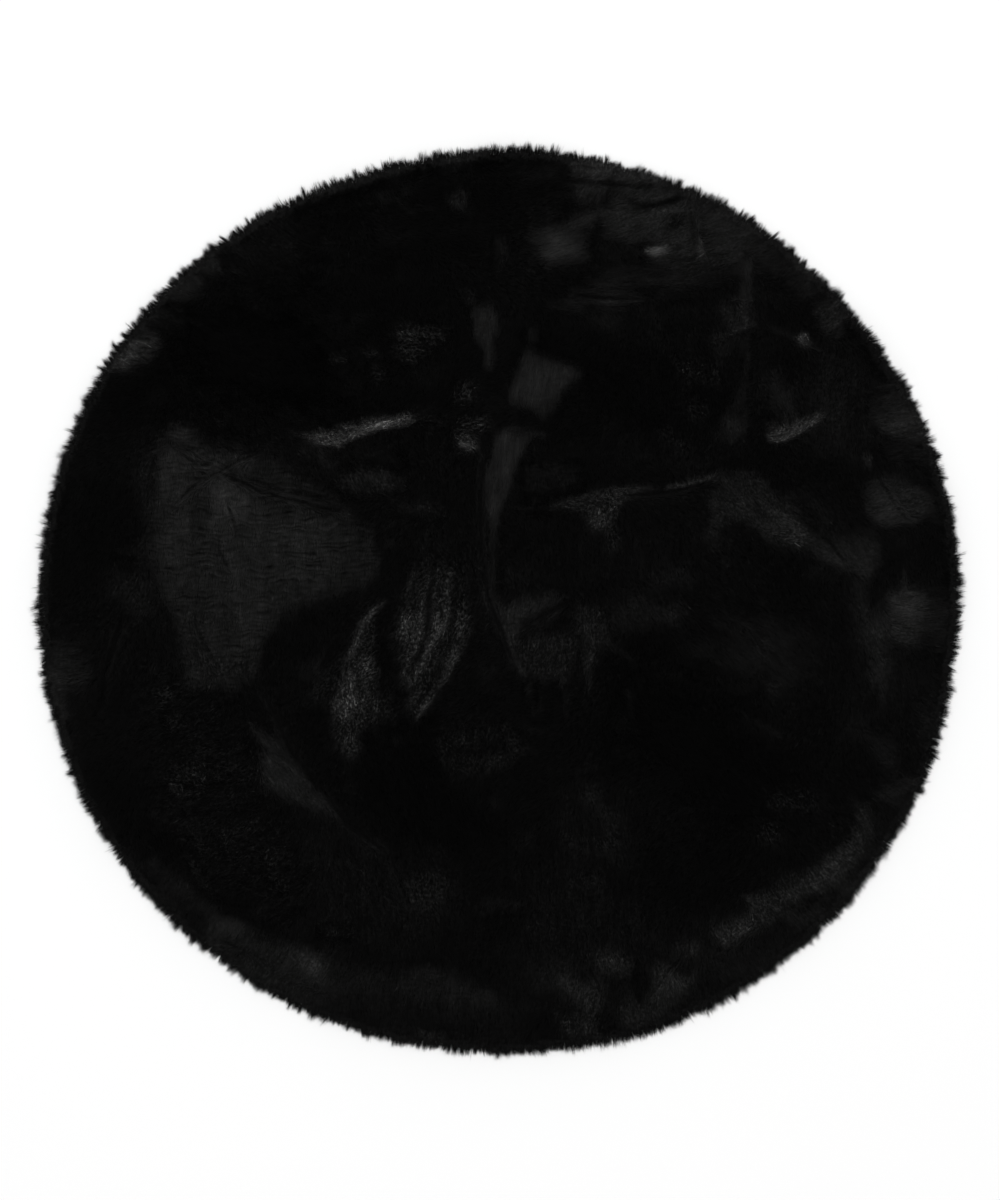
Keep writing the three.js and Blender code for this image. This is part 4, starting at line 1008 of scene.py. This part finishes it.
def pile_tree():
    """Grows a fibre on every root. Fibres lie the way the nap says and gather in small tufts."""
    sockets = {"Roots": "Geometry", "Fibre": "Object", "Finish": "Material"}
    sockets.update(dict.fromkeys(PILE_LENGTHS + PILE_SHARES + ("Floor",), "Float"))
    sockets["Seed"] = "Int"
    tree, given = start_group("fur pile", "GeometryNodeTree", sockets, {"Pile": "Geometry"})
    seed = given["Seed"]
    place = tree.nodes.new("GeometryNodeInputPosition").outputs[0]

    # Tufts: the tips lean toward the middle of their cell
    cell = joined(tree, given["Tuft Length"], given["Tuft Width"], 1.0)
    scaled = vector_calc(tree, "DIVIDE", place, cell)
    voronoi = add(tree, "ShaderNodeTexVoronoi", {"Vector": scaled, "Scale": 1.0, "Randomness": 0.9},
                  voronoi_dimensions="2D")
    to_middle = vector_calc(tree, "SUBTRACT", voronoi.outputs["Position"], scaled)
    to_middle = vector_calc(tree, "MULTIPLY", to_middle, cell)
    gather = calc(tree, "MULTIPLY", given["Gather"], calc(tree, "ADD", kept(tree, "tousle"), 0.25))
    pull = calc(tree, "DIVIDE", gather, given["Fibre Length"])
    to_middle = vector_calc(tree, "SCALE", to_middle, pull)

    # Strays
    spread = calc(tree, "MULTIPLY", given["Stray"], calc(tree, "ADD", kept(tree, "tousle"), 0.35))
    stray = joined(tree, chance(tree, -1.0, 1.0, seed), chance(tree, -1.0, 1.0, seed, 1))
    stray = vector_calc(tree, "SCALE", stray, spread)

    way = vector_calc(tree, "ADD", kept(tree, "nap", "FLOAT_VECTOR"), to_middle)
    way = vector_calc(tree, "ADD", way, stray)
    way = vector_calc(tree, "MULTIPLY", way, (1, 1, 0))
    parts = split(tree, way)
    yaw = calc(tree, "ARCTAN2", parts["Y"], parts["X"])
    lean = calc(tree, "MINIMUM", vector_calc(tree, "LENGTH", way), 0.985)
    upright = calc(tree, "SQRT", calc(tree, "SUBTRACT", 1.0, calc(tree, "MULTIPLY", lean, lean)))

    # How long and how wide each fibre is, as its own draw and its tuft's say
    growth = product(tree, chance(tree, 0.88, 1.09, seed, 2), kept(tree, "growth"))
    shade = add(tree, "FunctionNodeSeparateColor", {0: voronoi.outputs["Color"]}).outputs
    uneven = calc(tree, "SUBTRACT", shade["Green"], 0.5)
    uneven = calc(tree, "MULTIPLY_ADD", uneven, given["Tuft Spread"], 1.0)
    growth = calc(tree, "MULTIPLY", growth, uneven)
    length = calc(tree, "MULTIPLY", given["Fibre Length"], growth)
    reach = calc(tree, "MULTIPLY", length, lean)
    rise = calc(tree, "MULTIPLY", length, upright)
    width = product(tree, given["Fibre Width"], chance(tree, 0.7, 1.3, seed, 3))
    turn = joined(tree, x=chance(tree, -0.5, 0.5, seed, 4), z=yaw)
    size = joined(tree, reach, width, rise)

    # What each fibre keeps: how far its tip drops, its tuft's shade and its own draw for painted glints
    tip = product(tree, kept(tree, "tip_height"), chance(tree, 0.82, 1.1, seed, 5))
    fall = calc(tree, "SUBTRACT", calc(tree, "ADD", split(tree, place)["Z"], rise), tip)
    roots = store(tree, given["Roots"], "fall", fall)
    roots = store(tree, roots, "tuft", shade["Red"])
    roots = store(tree, roots, "glint", chance(tree, 0.0, 1.0, seed, 6))

    fibre = add(tree, "GeometryNodeObjectInfo", {"Object": given["Fibre"]}).outputs["Geometry"]
    grown = add(tree, "GeometryNodeInstanceOnPoints",
                {"Points": roots, "Instance": fibre, "Rotation": turn, "Scale": size}).outputs[0]
    real = add(tree, "GeometryNodeRealizeInstances", {0: grown}).outputs[0]

    # Each fibre droops toward its tip, and never under the floor
    along = kept(tree, "along")
    drop = calc(tree, "MULTIPLY", kept(tree, "fall"), calc(tree, "MULTIPLY", along, along))
    now = split(tree, place)
    low = calc(tree, "MAXIMUM", calc(tree, "SUBTRACT", now["Z"], drop), given["Floor"])
    placed = joined(tree, now["X"], now["Y"], low)
    real = add(tree, "GeometryNodeSetPosition", {"Geometry": real, "Position": placed}).outputs[0]

    done = add(tree, "GeometryNodeSetMaterial", {"Geometry": real, "Material": given["Finish"]}).outputs[0]
    add(tree, "NodeGroupOutput", {"Pile": done})
    return tree


# Meshes


def mesh_object(name, corners, faces, material=None, smooth=True):
    """A mesh piece from corners in millimetres."""
    mesh = bpy.data.meshes.new(name)
    mesh.from_pydata((np.asarray(corners, float) * MM).tolist(), [], faces)
    if smooth:
        mesh.shade_smooth()
    else:
        mesh.shade_flat()
    piece = bpy.data.objects.new(name, mesh)
    bpy.context.scene.collection.objects.link(piece)
    if material:
        mesh.materials.append(material)
    return piece


def set_attribute(mesh, name, values, kind="FLOAT"):
    """Gives each corner its value."""
    attribute = mesh.attributes.new(name, kind, "POINT")
    field = "vector" if kind == "FLOAT_VECTOR" else "value"
    attribute.data.foreach_set(field, np.asarray(values, np.float32).ravel())


def fibre_shape(corners, faces, along):
    """One fibre of unit reach, width and rise. along is 0 at its root and 1 at its tip."""
    fibre = mesh_object("fibre", np.array(corners) / MM, faces, smooth=False)
    set_attribute(fibre.data, "along", along)
    return fibre


def straight_fibre():
    """A flat blade that narrows to its tip."""
    return fibre_shape([(0, -0.5, 0), (0, 0.5, 0), (1, 0, 1)], [(0, 2, 1)], (0, 0, 1))


def bent_fibre():
    """A blade that is widest at its bend, at reach and rise."""
    reach, rise = 0.45, 0.68
    corners = [(0, 0, 0), (reach, -0.5, rise), (1, 0, 1), (reach, 0.5, rise)]
    return fibre_shape(corners, [(0, 1, 3), (1, 2, 3)], (0, 0.5, 1, 0.5))


def join_rings(outer, inner):
    """Triangles between two rings of point numbers, whose counts may differ."""
    faces = []
    i = j = 0
    while i < len(outer) or j < len(inner):
        a, b = outer[i % len(outer)], inner[j % len(inner)]
        if (i + 0.5) / len(outer) <= (j + 0.5) / len(inner):
            i += 1
            faces.append((a, outer[i % len(outer)], b))
        else:
            j += 1
            faces.append((a, inner[j % len(inner)], b))
    return faces


def disc(slab, edge, spacing, lip, tops, underside):
    """A closed disc that ends inside the outline by edge, with points about spacing apart.

    lip is the height of its rim, tops gives the height of points inside it, and underside is level.
    """
    corners = []
    faces = []

    def ring(share, count, height):
        way = ways(np.arange(count) * FULL_TURN / count)
        points = way * ((slab.rim(way) - edge) * share)[:, None]
        first = len(corners)
        z = height(points) if callable(height) else np.full(count, height)
        corners.extend(np.column_stack([points, z]).tolist())
        return list(range(first, first + count))

    mean = float(slab.rims.mean()) - edge
    count = int(FULL_TURN * mean / spacing)
    rim = ring(1, count, lip)
    outer = rim
    steps = int(mean / spacing)
    for step in range(1, steps):
        share = 1 - step / steps
        inner = ring(share, max(8, int(count * share)), tops)
        faces += join_rings(outer, inner)
        outer = inner
    middle = len(corners)
    corners.append((0, 0, float(tops(np.zeros((1, 2)))[0])))
    faces += [(outer[i], outer[(i + 1) % len(outer)], middle) for i in range(len(outer))]

    outer = ring(1, count, underside)
    faces += [(rim[(i + 1) % count], rim[i], outer[i]) for i in range(count)]
    faces += [(rim[(i + 1) % count], outer[i], outer[(i + 1) % count]) for i in range(count)]
    for share in (0.9, 0.6, 0.3):
        inner = ring(share, max(8, int(count * share / 2)), underside)
        faces += [face[::-1] for face in join_rings(outer, inner)]
        outer = inner
    middle = len(corners)
    corners.append((0, 0, underside))
    faces += [(outer[(i + 1) % len(outer)], outer[i], middle) for i in range(len(outer))]
    return corners, faces


def make_ground(slab, material):
    """The knitted ground, cut round, flat on the floor under the pile."""

    def top(points):
        return GROUND_THICKNESS + 0.25 * drift(points, 40, 71)

    corners, faces = disc(slab, GROUND_IN, GROUND_SPACING, GROUND_THICKNESS * 0.8, top, 0.0)
    return mesh_object("knitted_ground", corners, faces, material)


def make_bed(slab, material):
    """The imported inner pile, which shows between the fibres."""

    def top(points):
        ruffle = 0.5 * drift(points, 13, 72) + 0.35 * drift(points, 7, 73)
        return np.maximum(slab.bed_height(points) + ruffle, BED_UNDERSIDE + 0.2)

    corners, faces = disc(slab, BED_IN, BED_SPACING, BED_UNDERSIDE + 0.1, top, BED_UNDERSIDE)
    bed = mesh_object("packed_pile", corners, faces, material)
    points = np.asarray(corners)[:, :2]
    # tone: the painted sheen and shade of the brushed pile above
    set_attribute(bed.data, "tone", brush(points, slab).tone)
    return bed


def root_grid(slab):
    """Roots in courses and wales over the whole ground, a little uneven."""
    reach = 520.0
    across = ROOT_SPACING * math.sqrt(3) / 2
    x, y = np.meshgrid(np.arange(-reach, reach, ROOT_SPACING), np.arange(-reach, reach, across))
    x[1::2] += ROOT_SPACING / 2
    points = np.stack([x.ravel(), y.ravel()], 1)
    points += np.random.default_rng(81).uniform(-0.4, 0.4, points.shape) * ROOT_SPACING
    return points[slab.inside(points) > ROOT_IN]


def rim_roots(slab):
    """Extra roots just inside the rim, whose fine tips make its ragged edge."""
    random = np.random.default_rng(82)
    way = ways(random.uniform(0, FULL_TURN, RIM_FIBRES))
    inside = random.uniform(*RIM_ROOTS_IN, RIM_FIBRES)
    return way * (slab.rim(way) - inside)[:, None]


def grow_pile(name, points, slab, tree, fibre, material, sizes, seed):
    """Grows fibres on roots at points, as one plain mesh."""
    lie = brush(points, slab)
    length = sizes["Fibre Length"]
    base = np.maximum(slab.bed_height(points) - ROOT_DEPTH, GROUND_THICKNESS)
    lean = np.hypot(lie.nap[:, 0], lie.nap[:, 1])
    stands = 1 - FLATTENED * smooth_step(0.6, 0.95, lean)
    tip_height = np.maximum(slab.height(points + lie.nap * length) * stands, LOWEST_TIP)
    edge = smooth_step(24, 10, slab.inside(points))
    turn = degrees_round(points) % 360
    longer = smooth_step(LONG_RIM_SPAN, 0, np.abs(turn - LONG_RIM_AT))
    growth = 1 + edge * (0.1 + 0.06 * drift(points, 7, 91) + 0.05 * drift(points, 30, 92) + 0.16 * longer)

    roots = mesh_object(name, np.column_stack([points, base]), [])
    set_attribute(roots.data, "nap", np.column_stack([lie.nap, np.zeros(len(points))]), "FLOAT_VECTOR")
    set_attribute(roots.data, "tousle", lie.tousle)
    set_attribute(roots.data, "tip_height", tip_height * MM)
    set_attribute(roots.data, "growth", growth)

    modifier = roots.modifiers.new("pile", "NODES")
    modifier.node_group = tree
    values = {"Fibre": fibre, "Finish": material, "Floor": FLOOR_GAP * MM, "Seed": seed}
    values.update({share: sizes[share] for share in PILE_SHARES})
    values.update({size: sizes[size] * MM for size in PILE_LENGTHS})
    for item in tree.interface.items_tree:
        if item.item_type == "SOCKET" and item.in_out == "INPUT" and item.name in values:
            modifier[item.identifier] = values[item.name]
    bpy.context.view_layer.update()
    evaluated = roots.evaluated_get(bpy.context.evaluated_depsgraph_get())
    mesh = bpy.data.meshes.new_from_object(evaluated)
    roots.modifiers.clear()
    roots.data = mesh
    mesh.name = name
    dress(mesh, slab)
    lay_map(mesh)
    return roots


def plan_of(mesh):
    """The plan position of every corner, in millimetres."""
    places = np.empty(len(mesh.vertices) * 3, np.float32)
    mesh.vertices.foreach_get("co", places)
    return places.reshape(-1, 3)[:, :2].astype(float) / MM


def dress(mesh, slab):
    """Gives every corner the tone, with its painted sheen and shade, and the rows and ruffle of its own
    place.
    """
    lie = brush(plan_of(mesh), slab)
    mesh.attributes.remove(mesh.attributes["tousle"])  # the root's
    for name in ("tone", "rows", "tousle"):
        set_attribute(mesh, name, getattr(lie, name))


def lay_map(mesh):
    """A flat map over the piece's plan."""
    plan = plan_of(mesh)
    low, high = plan.min(0), plan.max(0)
    order = np.empty(len(mesh.loops), np.int32)
    mesh.loops.foreach_get("vertex_index", order)
    uv = mesh.uv_layers.new(name="OFBake")
    uv.data.foreach_set("uv", ((plan - low) / (high - low).max())[order].astype(np.float32).ravel())


# Materials


def start_material(name):
    """A new material. Returns it with its tree, its shader and the place on the piece."""
    material = bpy.data.materials.new(name)
    material.use_nodes = True
    tree = material.node_tree
    place = tree.nodes.new("ShaderNodeTexCoord").outputs["Object"]
    return material, tree, tree.nodes["Principled BSDF"], place


def knit_rows():
    """Shader group: painted light and shade of short wavy ripples where the courses of the knit part the
    pile.
    """
    sockets = {"Position": "Vector", "Course Height": "Float", "Strength": "Float"}
    tree, given = start_group("knit rows", "ShaderNodeTree", sockets, {"Light": "Float"})
    place = given["Position"]
    axes = split(tree, place)
    y = calc(tree, "MULTIPLY_ADD", noise(tree, place, 42.0), 0.016, axes["Y"])
    drawn = joined(tree, calc(tree, "MULTIPLY", axes["X"], 0.3), y)
    dents = noise(tree, drawn, 210.0)
    y = calc(tree, "MULTIPLY_ADD", dents, 0.006, y)
    phase = calc(tree, "DIVIDE", calc(tree, "MULTIPLY", y, FULL_TURN), given["Course Height"])
    wave = calc(tree, "MULTIPLY", calc(tree, "SINE", phase), 0.6)
    dents = calc(tree, "MULTIPLY", calc(tree, "SUBTRACT", dents, 0.5), 5.5)
    wave = calc(tree, "ADD", wave, dents)
    shows = between(tree, noise(tree, place, 95.0), 0.35, 0.6, 0.3, 1.0)
    wave = product(tree, wave, shows, given["Strength"])
    light = calc(tree, "MAXIMUM", calc(tree, "ADD", wave, 1.0), 0.15)
    add(tree, "NodeGroupOutput", {"Light": light})
    return tree


def grey(tree, light, blue=1.0):
    """A grey of that light. blue scales its blue part."""
    given = {0: light, 1: light, 2: calc(tree, "MULTIPLY", light, blue)}
    return add(tree, "ShaderNodeCombineColor", given).outputs[0]


def fur_material(rows):
    """Black fibre. Its tone is painted sheen and shade: how much light the brushed pile sends up."""
    material, tree, shader, place = start_material("black fur")
    tousle = attribute(tree, "tousle")
    glint = attribute(tree, "glint")
    fleck = noise(tree, place, 640.0)
    curl = noise(tree, place, 330.0)
    ripples = add(tree, "ShaderNodeGroup", node_tree=rows)
    tree.links.new(place, ripples.inputs["Position"])
    ripples.inputs["Course Height"].default_value = COURSE_HEIGHT * MM
    tree.links.new(calc(tree, "MULTIPLY", attribute(tree, "rows"), 0.34), ripples.inputs["Strength"])

    # Painted glints: ruffled fibres catch the light one by one and by their curls,
    # and a few stray ones anywhere
    spark = calc(tree, "SUBTRACT", calc(tree, "MULTIPLY", calc(tree, "POWER", glint, 4.0), 5.0), 0.95)
    spark = calc(tree, "MULTIPLY_ADD", spark, calc(tree, "MULTIPLY", tousle, 0.45), 1.0)
    curl = calc(tree, "POWER", between(tree, curl, 0.32, 0.7, 0.0, 1.0), 2.0)
    curl = calc(tree, "MULTIPLY", calc(tree, "SUBTRACT", curl, 0.28), 2.2)
    curl = calc(tree, "MULTIPLY_ADD", curl, calc(tree, "MINIMUM", tousle, 1.3), 1.0)
    lone = between(tree, glint, 0.9985, 0.9995, 1.0, 3.0)
    light = product(
        tree,
        attribute(tree, "tone"),
        calc(tree, "MAXIMUM", spark, 0.4),
        calc(tree, "MAXIMUM", curl, 0.3),
        lone,
        # painted shade toward the roots, and lighter tips
        between(tree, attribute(tree, "along"), 0.0, 1.0, 0.62, 1.2),
        between(tree, attribute(tree, "tuft"), 0.0, 1.0, 0.9, 1.1),
        between(tree, fleck, 0.3, 0.7, 0.8, 1.2),
        ripples.outputs["Light"],
        FUR_GAIN,
    )
    tree.links.new(grey(tree, light, 0.98), shader.inputs["Base Color"])
    tree.links.new(between(tree, fleck, 0.3, 0.7, 0.62, 0.85), shader.inputs["Roughness"])
    shader.inputs["Specular IOR Level"].default_value = 0.05
    return material


def bed_material():
    """Shaded inner pile: nearly black, carrying the pile's painted sheen and shade, with the tufts' soft
    relief.
    """
    material, tree, shader, place = start_material("inner pile")
    tufts = noise(tree, place, 260.0, 3.0)
    # painted shade in the hollows between tufts and lighter tops, following the bump's height
    light = product(tree, attribute(tree, "tone"), between(tree, tufts, 0.3, 0.7, 0.6, 1.3), BED_GAIN)
    tree.links.new(grey(tree, light), shader.inputs["Base Color"])
    bump = add(tree, "ShaderNodeBump", {"Strength": 0.6, "Distance": 0.002, "Height": tufts})
    tree.links.new(bump.outputs[0], shader.inputs["Normal"])
    shader.inputs["Roughness"].default_value = 1.0
    shader.inputs["Specular IOR Level"].default_value = 0.0
    return material


def ground_material():
    """Charcoal weft knit: wales and courses of small loops, with a dull coat."""
    material, tree, shader, place = start_material("knitted ground")
    uneven = noise(tree, place, 9.0, 3.0)
    waves = []
    for axis, scale, distortion in (("X", 175.0, 0.4), ("Y", 250.0, 0.6)):
        given = {"Vector": place, "Scale": scale, "Distortion": distortion}
        waves.append(add(tree, "ShaderNodeTexWave", given, bands_direction=axis).outputs["Fac"])
    wales, courses = waves
    loops = calc(tree, "MULTIPLY", wales, calc(tree, "MULTIPLY_ADD", courses, 0.6, 0.4))
    patchy = between(tree, uneven, 0.3, 0.7, 0.85, 1.15)
    # painted shade between the loops and lighter crowns, following the bump's height
    light = product(tree, between(tree, loops, 0.0, 1.0, 0.010, 0.034), patchy)
    tree.links.new(grey(tree, light, 1.04), shader.inputs["Base Color"])
    bump = add(tree, "ShaderNodeBump", {"Strength": 0.5, "Distance": 0.0006, "Height": loops})
    tree.links.new(bump.outputs[0], shader.inputs["Normal"])
    tree.links.new(between(tree, uneven, 0.3, 0.7, 0.85, 0.98), shader.inputs["Roughness"])
    shader.inputs["Specular IOR Level"].default_value = 0.2
    return material


# Stage


def make_stage():
    """A white floor in soft studio light."""
    reach = FLOOR_REACH
    corners = [(-reach, -reach, 0), (reach, -reach, 0), (reach, reach, 0), (-reach, reach, 0)]
    paper = bpy.data.materials.new("white floor")
    paper.use_nodes = True
    shader = paper.node_tree.nodes["Principled BSDF"]
    shader.inputs["Base Color"].default_value = (0.9, 0.9, 0.9, 1)
    shader.inputs["Roughness"].default_value = 0.9
    shader.inputs["Specular IOR Level"].default_value = 0.1
    floor = mesh_object("floor", corners, [(0, 1, 2, 3)], paper, smooth=False)

    world = bpy.data.worlds.new("studio")
    world.use_nodes = True
    sky = world.node_tree.nodes["Background"]
    sky.inputs["Color"].default_value = (1, 1, 1, 1)
    sky.inputs["Strength"].default_value = 1.0
    bpy.context.scene.world = world

    lamp = bpy.data.lights.new("soft box", "AREA")
    lamp.shape = "SQUARE"
    lamp.size = LAMP_SIZE
    lamp.energy = LAMP_POWER
    light = bpy.data.objects.new("soft box", lamp)
    light.location = LAMP_PLACE
    light.rotation_euler = (Vector((0, 0, 0)) - light.location).to_track_quat("-Z", "Y").to_euler()
    light.visible_camera = False
    bpy.context.scene.collection.objects.link(light)
    bpy.context.scene.view_settings.view_transform = "Standard"


def make_camera():
    """Straight above, framed as the photograph is."""
    view = bpy.data.cameras.new("camera")
    view.sensor_fit = "VERTICAL"
    view.sensor_height = SENSOR_HEIGHT
    view.lens = LENS
    view.clip_end = 100
    camera = bpy.data.objects.new("camera", view)
    across = (IMAGE_MIDDLE[0] - RUG_MIDDLE_IN_IMAGE[0]) * MM_PER_PIXEL
    away = (RUG_MIDDLE_IN_IMAGE[1] - IMAGE_MIDDLE[1]) * MM_PER_PIXEL
    camera.location = (across * MM, away * MM, CAMERA_HEIGHT * MM)
    bpy.context.scene.collection.objects.link(camera)
    bpy.context.scene.camera = camera


# The rug


def make_rug(frame):
    """All pieces of the rug, round the slab of the frame."""
    slab = Slab(frame["nodes"]["fur_slab"])
    fur = fur_material(knit_rows())
    ground = make_ground(slab, ground_material())
    bed = make_bed(slab, bed_material())

    tree = pile_tree()
    straight, bent = straight_fibre(), bent_fibre()
    main = {"Fibre Length": FIBRE_LENGTH, "Fibre Width": FIBRE_WIDTH, "Tuft Length": 9.0, "Tuft Width": 6.0,
            "Gather": 0.5, "Stray": 0.24, "Tuft Spread": 0.1}
    fine = {"Fibre Length": RIM_FIBRE_LENGTH, "Fibre Width": RIM_FIBRE_WIDTH, "Tuft Length": 4.8,
            "Tuft Width": 4.8, "Gather": 1.55, "Stray": 0.13, "Tuft Spread": 0.48}
    roots = root_grid(slab)
    angle = degrees_round(roots) + 8 * drift(roots, 120, 95)
    quarter = (np.floor((angle + 45) / 90) % 4).astype(int)
    pile = []
    for i, side in enumerate(("right", "far", "left", "near")):
        piece = grow_pile(f"pile_{side}", roots[quarter == i], slab, tree, straight, fur, main, 100 + 10 * i)
        pile.append(piece)
    pile.append(grow_pile("rim_locks", rim_roots(slab), slab, tree, bent, fur, fine, 150))
    bpy.data.objects.remove(straight)
    bpy.data.objects.remove(bent)

    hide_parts("fur_slab")
    for piece in [ground, bed, *pile]:
        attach(piece, "root")


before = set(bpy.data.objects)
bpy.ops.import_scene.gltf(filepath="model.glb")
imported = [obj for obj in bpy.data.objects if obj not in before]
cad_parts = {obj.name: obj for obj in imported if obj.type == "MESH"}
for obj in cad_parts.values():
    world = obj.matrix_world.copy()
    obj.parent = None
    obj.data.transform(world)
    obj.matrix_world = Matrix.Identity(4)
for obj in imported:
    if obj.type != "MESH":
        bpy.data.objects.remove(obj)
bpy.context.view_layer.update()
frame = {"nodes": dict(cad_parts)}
make_stage()
make_camera()
make_rug(frame)
